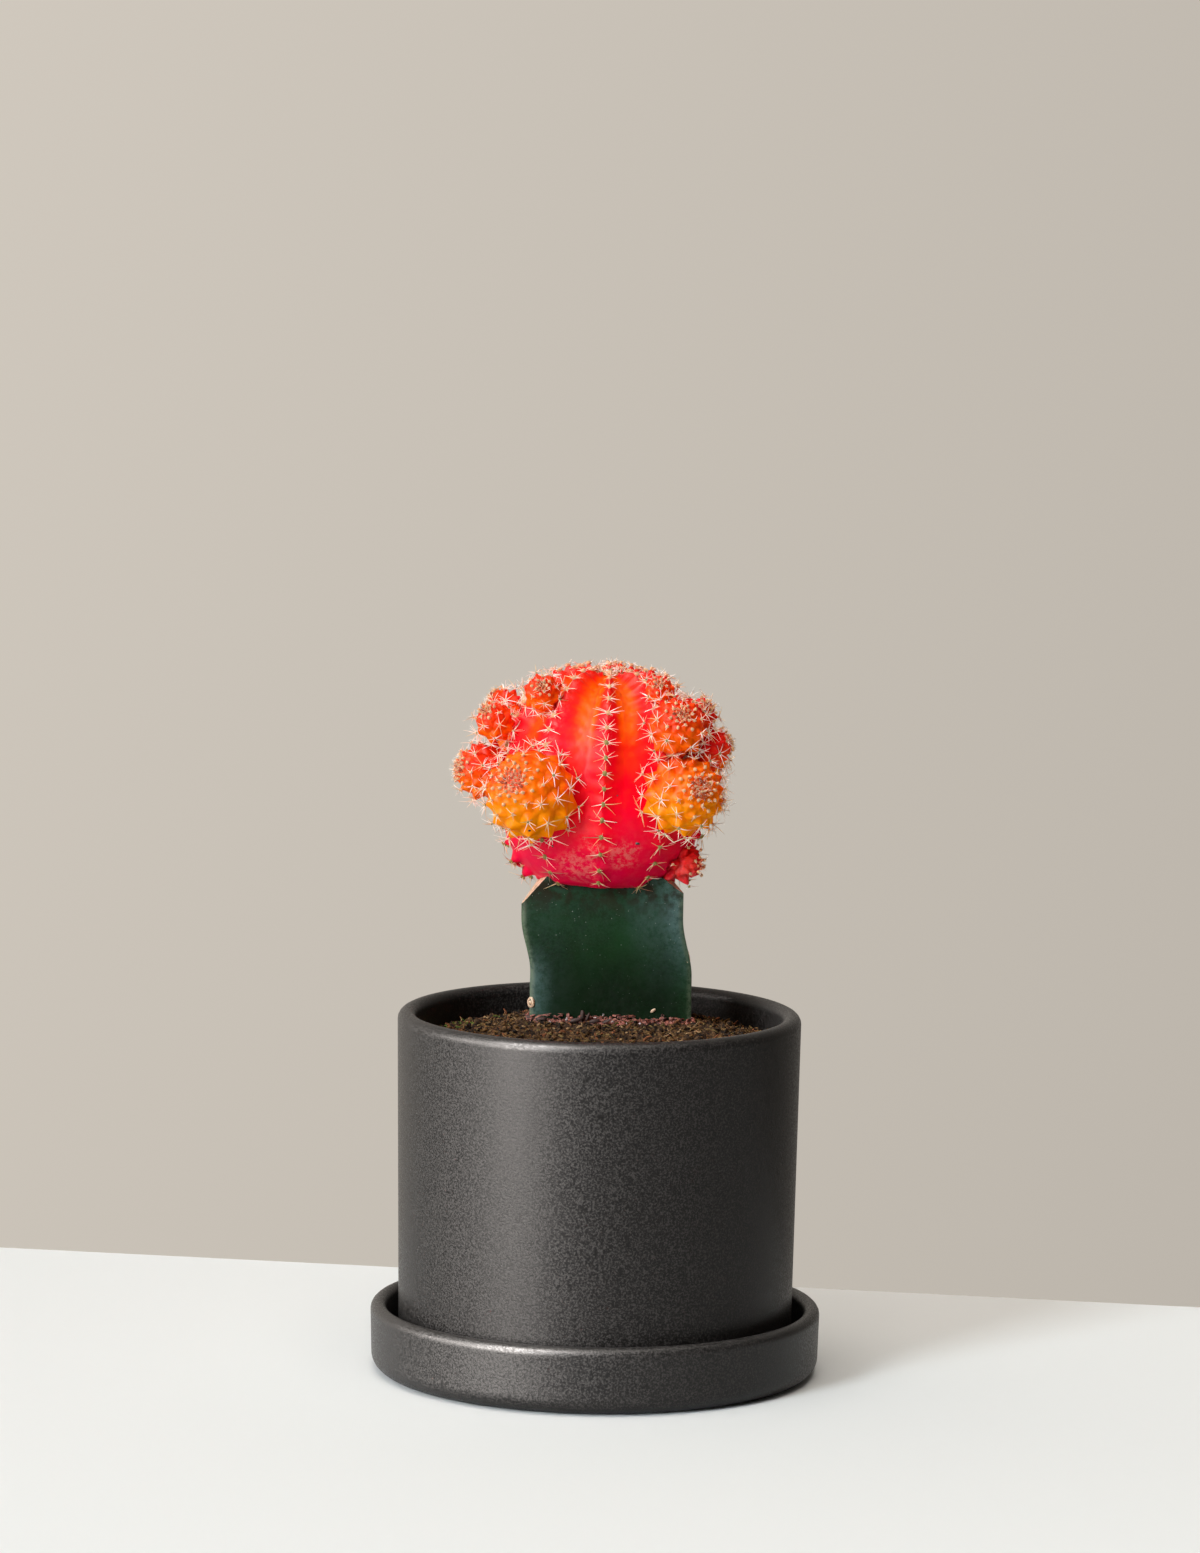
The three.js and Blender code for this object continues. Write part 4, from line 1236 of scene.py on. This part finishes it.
class Bristles:
    """Spines and wool pads gathered areole by areole, then made as two pieces."""

    def __init__(self, seed):
        self.random = np.random.default_rng(seed)
        self.spines, self.pads = [], []

    def spine(self, root, way, bend, length, thick, kind):
        self.spines.append((root - way * SPINE_ROOT, way, bend, length + SPINE_ROOT, thick, kind))

    def star(self, root, outward, down, count, size, lean, kinds, sideways):
        """Curved spines that spread from an areole, longer to the sides by a share sideways."""
        random = self.random
        side = unit(np.cross(outward, down))
        start = random.uniform(0, 2 * math.pi)
        for spoke in range(count):
            turn = start + 2 * math.pi * (spoke + random.uniform(-0.42, 0.42)) / count
            spread = math.cos(turn) * side * (1 + sideways) + math.sin(turn) * down
            rise = math.tan(radians(random.uniform(*lean)))
            way = unit(unit(spread) + rise * outward)
            reach = 1 - 0.45 * sideways * abs(math.sin(turn))
            length = size * random.uniform(0.6, 1.2) * reach
            bend = outward * random.uniform(-0.3, 0.12) + side * random.normal(0, 0.12)
            bend = bend + down * random.normal(0.02, 0.12)
            kind = kinds[random.integers(len(kinds))]
            self.spine(root, way, bend, length, random.uniform(0.8, 1.15), kind)

    def pad(self, place, outward, down, sizes, kind):
        side = unit(np.cross(outward, down))
        axes = np.stack([side, np.cross(outward, side), outward])
        self.pads.append((place, axes, sizes, kind))

    def pieces(self, name):
        roots, ways, bends, lengths, thick, kinds = map(np.array, zip(*self.spines))
        share = np.linspace(0, 1, STRAND_STEPS)
        out = lengths[:, None, None] * share[:, None]
        paths = roots[:, None] + ways[:, None] * out + bends[:, None] * out * share[:, None]
        radii = SPINE_RADIUS * thick[:, None] * mix(1, SPINE_TIP_SHARE, share ** 1.2)
        spines = strands(head_to_world(paths), radii)
        piece(f"{name}_spines", [(*spines, kinds)], SPINE_LOOKS)
        places, axes, sizes, kinds = map(np.array, zip(*self.pads))
        points, faces = lumps(places, axes, sizes, 2, 0.35, 91)
        piece(f"{name}_wool", [(head_to_world(points), faces, kinds)], WOOL_LOOKS)


def down_along(outward):
    """The direction on the skin that runs away from the plant's top."""
    down = np.array([0, 0, -1.0]) + outward * outward[2]
    if np.linalg.norm(down) < 1e-3:
        down = np.array([0, -1.0, 0])
    return unit(down)


def mother_bristles(mother, offsets):
    bristles = Bristles(101)
    random = bristles.random
    for direction in mother.areoles():
        root = mother.on_skin(direction[None])
        covered = any(head.depth(root)[0] > MOTHER_COVERED_FROM for head in offsets)
        placed = head_to_world(root)
        if covered or placed[0, 2] < stem_ceiling(placed)[0] + ABOVE_STEM_TOP:
            continue
        root = root[0]
        polar = math.degrees(math.acos(direction[2]))
        down = down_along(direction)
        upper, low = polar < 75, polar > 112
        wool = OLIVE if polar > 75 else (CREAM if polar < 60 else random.integers(2))
        size = MOTHER_PAD * (1 if polar > 20 else 0.9)
        bristles.pad(root + direction * 0.1, direction, down, size, wool)
        if polar < 40:
            bristles.pad(root + direction * 0.25 + down * 0.5, direction, down, size * 0.7, CREAM)
        length = mix(*MOTHER_SPINES, ease(8, 45, polar)) * (0.8 if 78 < polar < 100 else 1)
        kinds = [STRAW, STRAW, BROWN, PALE] if low else [PALE, PALE, WHITE, STRAW]
        count = random.integers(10, 13) if upper else random.integers(5, 8)
        sideways = 0.9 if upper else 0.35
        bristles.star(root, direction, down, count, length, MOTHER_LEAN, kinds, sideways)
    crown_tuft(bristles, mother)
    bristles.pieces("head")


def crown_tuft(bristles, mother):
    """Wool and short upright spines in the mother head's sunken crown."""
    random = bristles.random
    for spot in range(CROWN_TUFTS):
        polar = CROWN_TUFT_SPAN * math.sqrt((spot + 0.5) / CROWN_TUFTS)
        direction = towards((math.degrees(spot * GOLDEN_ANGLE), 90 - polar))
        root = mother.on_skin(direction[None])[0]
        kind = (CREAM, UMBER, CREAM, OLIVE)[random.integers(4)]
        size = random.uniform(0.5, 0.85) * np.array([0.8, 0.8, 0.9])
        bristles.pad(root, direction, down_along(direction), size, kind)
        for _ in range(3):
            way = unit(direction + 0.55 * random.normal(size=3))
            bend = 0.3 * random.normal(size=3)
            kind = (WHITE, BROWN, PALE)[random.integers(3)]
            bristles.spine(root, way, bend, random.uniform(1, 2.4), 0.8, kind)


def offset_bristles(offsets, heads):
    bristles = Bristles(103)
    for head in offsets:
        roots = head.on_skin(head.warts)
        depths = [other.depth(roots) for other in heads if other is not head]
        placed = head_to_world(roots)
        bare = np.max(depths, axis=0) > OFFSET_COVERED_FROM
        bare |= placed[:, 2] < stem_ceiling(placed) + ABOVE_STEM_TOP
        for wart, root, polar in zip(head.warts[~bare], roots[~bare], np.degrees(head.polars[~bare])):
            offset_areole(bristles, head, wart, root, polar)
    bristles.pieces("offset")


def offset_areole(bristles, head, wart, root, polar):
    """A wool pad near the crown, and further out a pad with a star of spines."""
    random = bristles.random
    down = unit(wart * (head.crown @ wart) - head.crown + 1e-6)
    small = min(1, 0.7 + 0.026 * head.radius)
    grown = ease(27, 62, polar)
    scale = small * mix(0.75, 1, ease(4, 18, polar))
    kind = (UMBER, ROSE, ROSE, CREAM, ROSE)[random.integers(5)] if polar < 15 else CREAM
    if polar > 50 and random.random() < 0.35:
        kind = OLIVE
    bristles.pad(root + wart * 0.08, wart, down, scale * mix(*OFFSET_PADS, grown), kind)
    if polar < 26:
        kinds = (BROWN, STRAW, PALE) if polar < 15 else (STRAW, WHITE, PALE)
        for _ in range(4):
            way = unit(wart + 0.5 * random.normal(size=3))
            kind = kinds[random.integers(3)]
            bend = 0.2 * random.normal(size=3)
            bristles.spine(root, way, bend, random.uniform(0.7, 1.5), 0.8, kind)
    if grown > 0.08:
        lobed = head.relief > LOBED_FROM
        length = small * mix(*OFFSET_SPINES, grown) * (0.6 if lobed else 1)
        fewest, most = (2, 4) if lobed else ((3, 6) if grown < 0.5 else (6, 11))
        count = random.integers(fewest, most)
        kinds = [PALE, WHITE, WHITE, STRAW]
        bristles.star(root, wart, down, count, length, OFFSET_LEAN, kinds, 0.15)


def dark_specks(heads):
    """Bits of dirt and dark scars on the heads."""
    owners = {head.name: head for head in heads}
    directions = np.array([towards(speck[1:3]) for speck in SPECKS])
    places = np.array([
        owners[speck[0]].on_skin(way[None])[0] for speck, way in zip(SPECKS, directions)
    ])
    frames = cross_frames(directions, np.arange(len(SPECKS)))
    sizes = np.array([speck[3] for speck in SPECKS])[:, None] * [1, 0.8, 0.6]
    points, faces = lumps(places, frames, sizes, 3, 0.5, 95)
    piece("dark_specks", [(head_to_world(points), faces)], [DIRT])


def make_heads():
    mother = Mother()
    offsets = [Offset(*row) for row in OFFSETS]
    heads = [mother, *offsets]
    points, faces, directions = mother.shape()
    piece("head_flesh", [(head_to_world(points), faces)], [FLESH_LOOKS["flesh_red"]],
          "scion_body", mother.tints(directions, points))
    for place, offset in enumerate(offsets):
        points, faces, directions = offset.shape(heads[:place + 1])
        others = [head for head in heads if head is not offset]
        slot = f"flesh_{offset.hue}"
        piece(f"{offset.name}_flesh", [(head_to_world(points), faces)], [FLESH_LOOKS[slot]],
              offset.name, offset.tints(directions, points, others))
    mother_bristles(mother, offsets)
    offset_bristles(offsets, heads)
    dark_specks(heads)


# Stage, light and camera

TABLE_EDGE_BEHIND = 117.2
TABLE_EDGE_TURN = -9.62
TABLE_SIZE = (3200, 1900, 30)
TABLE_COLOUR = (0.762, 0.776, 0.783)
WALL_COLOUR = (1, 0.918, 0.81)
# How bright the wall is along an axis of the view outwards: over a stretch of it, from and to
WALL_SHADING = [
    ("X", (-1, 1), (1.03, 0.11)), ("Y", (-0.4, 0.5), (0.15, 1)), ("Z", (-0.21, 0), (0.96, 1.02)),
]
LIGHTS_AIM = Vector((0, 0, 0.08))
CAMERA_PLACE = Vector((-0.861, -1600, 353.3)) * MM
CAMERA_TILT = 0.12265
CAMERA_ROLL = 0.9
CAMERA_CLIP = (0.05, 50)
FOCAL_PIXELS = 6224
FRAME_HEIGHT = 1553
SENSOR = 36


def make_table():
    """A pale table top whose far edge crosses the picture behind the pot."""
    size = Vector(TABLE_SIZE) * MM
    middle = (0, -size.y / 2, -size.z / 2)
    made = bmesh.new()
    bmesh.ops.create_cube(made, size=1, matrix=Matrix.LocRotScale(middle, None, size))
    mesh = bpy.data.meshes.new("table_top")
    made.to_mesh(mesh)
    made.free()
    look = Look("table_paint", TABLE_COLOUR, 0.9, 0.03)
    mesh.materials.append(look.shaded({"Normal": look.bump(look.noise(0.8, 2), 0.02, 0.3)}))
    table = bpy.data.objects.new("table_top", mesh)
    table.location = (0, TABLE_EDGE_BEHIND * MM, 0)
    table.rotation_euler = (0, 0, radians(TABLE_EDGE_TURN))
    bpy.context.scene.collection.objects.link(table)


def soft_box(name, place, distance, size, watts, colour, sheen_only=False):
    """A flat light, size wide and high, that looks at the plant from an azimuth and elevation."""
    data = bpy.data.lights.new(name, "AREA")
    data.shape = "RECTANGLE"
    data.size, data.size_y = size
    data.energy = watts
    data.color = colour
    light = bpy.data.objects.new(name, data)
    light.visible_diffuse = not sheen_only
    way = Vector(towards(place))
    light.location = LIGHTS_AIM + way * distance
    light.rotation_euler = way.to_track_quat("Z", "Y").to_euler()
    bpy.context.scene.collection.objects.link(light)


def make_room():
    """The wall all round, brighter on the left and higher up, and dimmer in front."""
    world = bpy.data.worlds.new("studio")
    world.use_nodes = True
    wires = Wires(world.node_tree)
    outwards = wires.node("TexCoord", {}, "Generated")
    strength = 1
    for axis, stretch, values in WALL_SHADING:
        along = wires.node("SeparateXYZ", {0: outwards}, axis)
        share = wires.node("MapRange", dict(enumerate((along, *stretch, *values))))
        strength = wires.times(share, strength)
    background = world.node_tree.nodes["Background"]
    wires.feed(background, {"Color": WALL_COLOUR, "Strength": strength})
    bpy.context.scene.world = world


def make_light():
    make_room()
    soft_box("key", (-40, 24), 5, (1.2, 2.4), 212, (0.84, 0.94, 1))
    soft_box("sheen", (-49, 12), 5, (2.3, 2.8), 1560, (1, 0.93, 0.88), sheen_only=True)
    soft_box("side_sheen", (-86, 16), 4, (1.6, 1.6), 260, (1, 0.93, 0.88), sheen_only=True)
    soft_box("lip_sheen", (-47, 46), 5, (2.2, 2.2), 1500, (1, 0.94, 0.9), sheen_only=True)
    soft_box("top", (0, 80), 3, (2, 2), 54, (1, 0.94, 0.86))


def make_camera():
    data = bpy.data.cameras.new("camera")
    data.sensor_width = SENSOR
    data.lens = FOCAL_PIXELS / FRAME_HEIGHT * SENSOR
    data.clip_start, data.clip_end = CAMERA_CLIP
    camera = bpy.data.objects.new("camera", data)
    tilt = Matrix.Rotation(math.pi / 2 - CAMERA_TILT, 4, "X")
    roll = Matrix.Rotation(radians(CAMERA_ROLL), 4, "Z")
    camera.matrix_world = Matrix.Translation(CAMERA_PLACE) @ tilt @ roll
    bpy.context.scene.collection.objects.link(camera)
    bpy.context.scene.camera = camera


make_saucer()
make_pot()
make_soil()
soil_crumbs()
soil_fibres()
make_mulch()
mulch_shreds()
make_stem()
stem_scars()
make_heads()
make_table()
make_light()
make_camera()
bpy.context.scene.view_settings.view_transform = "Standard"
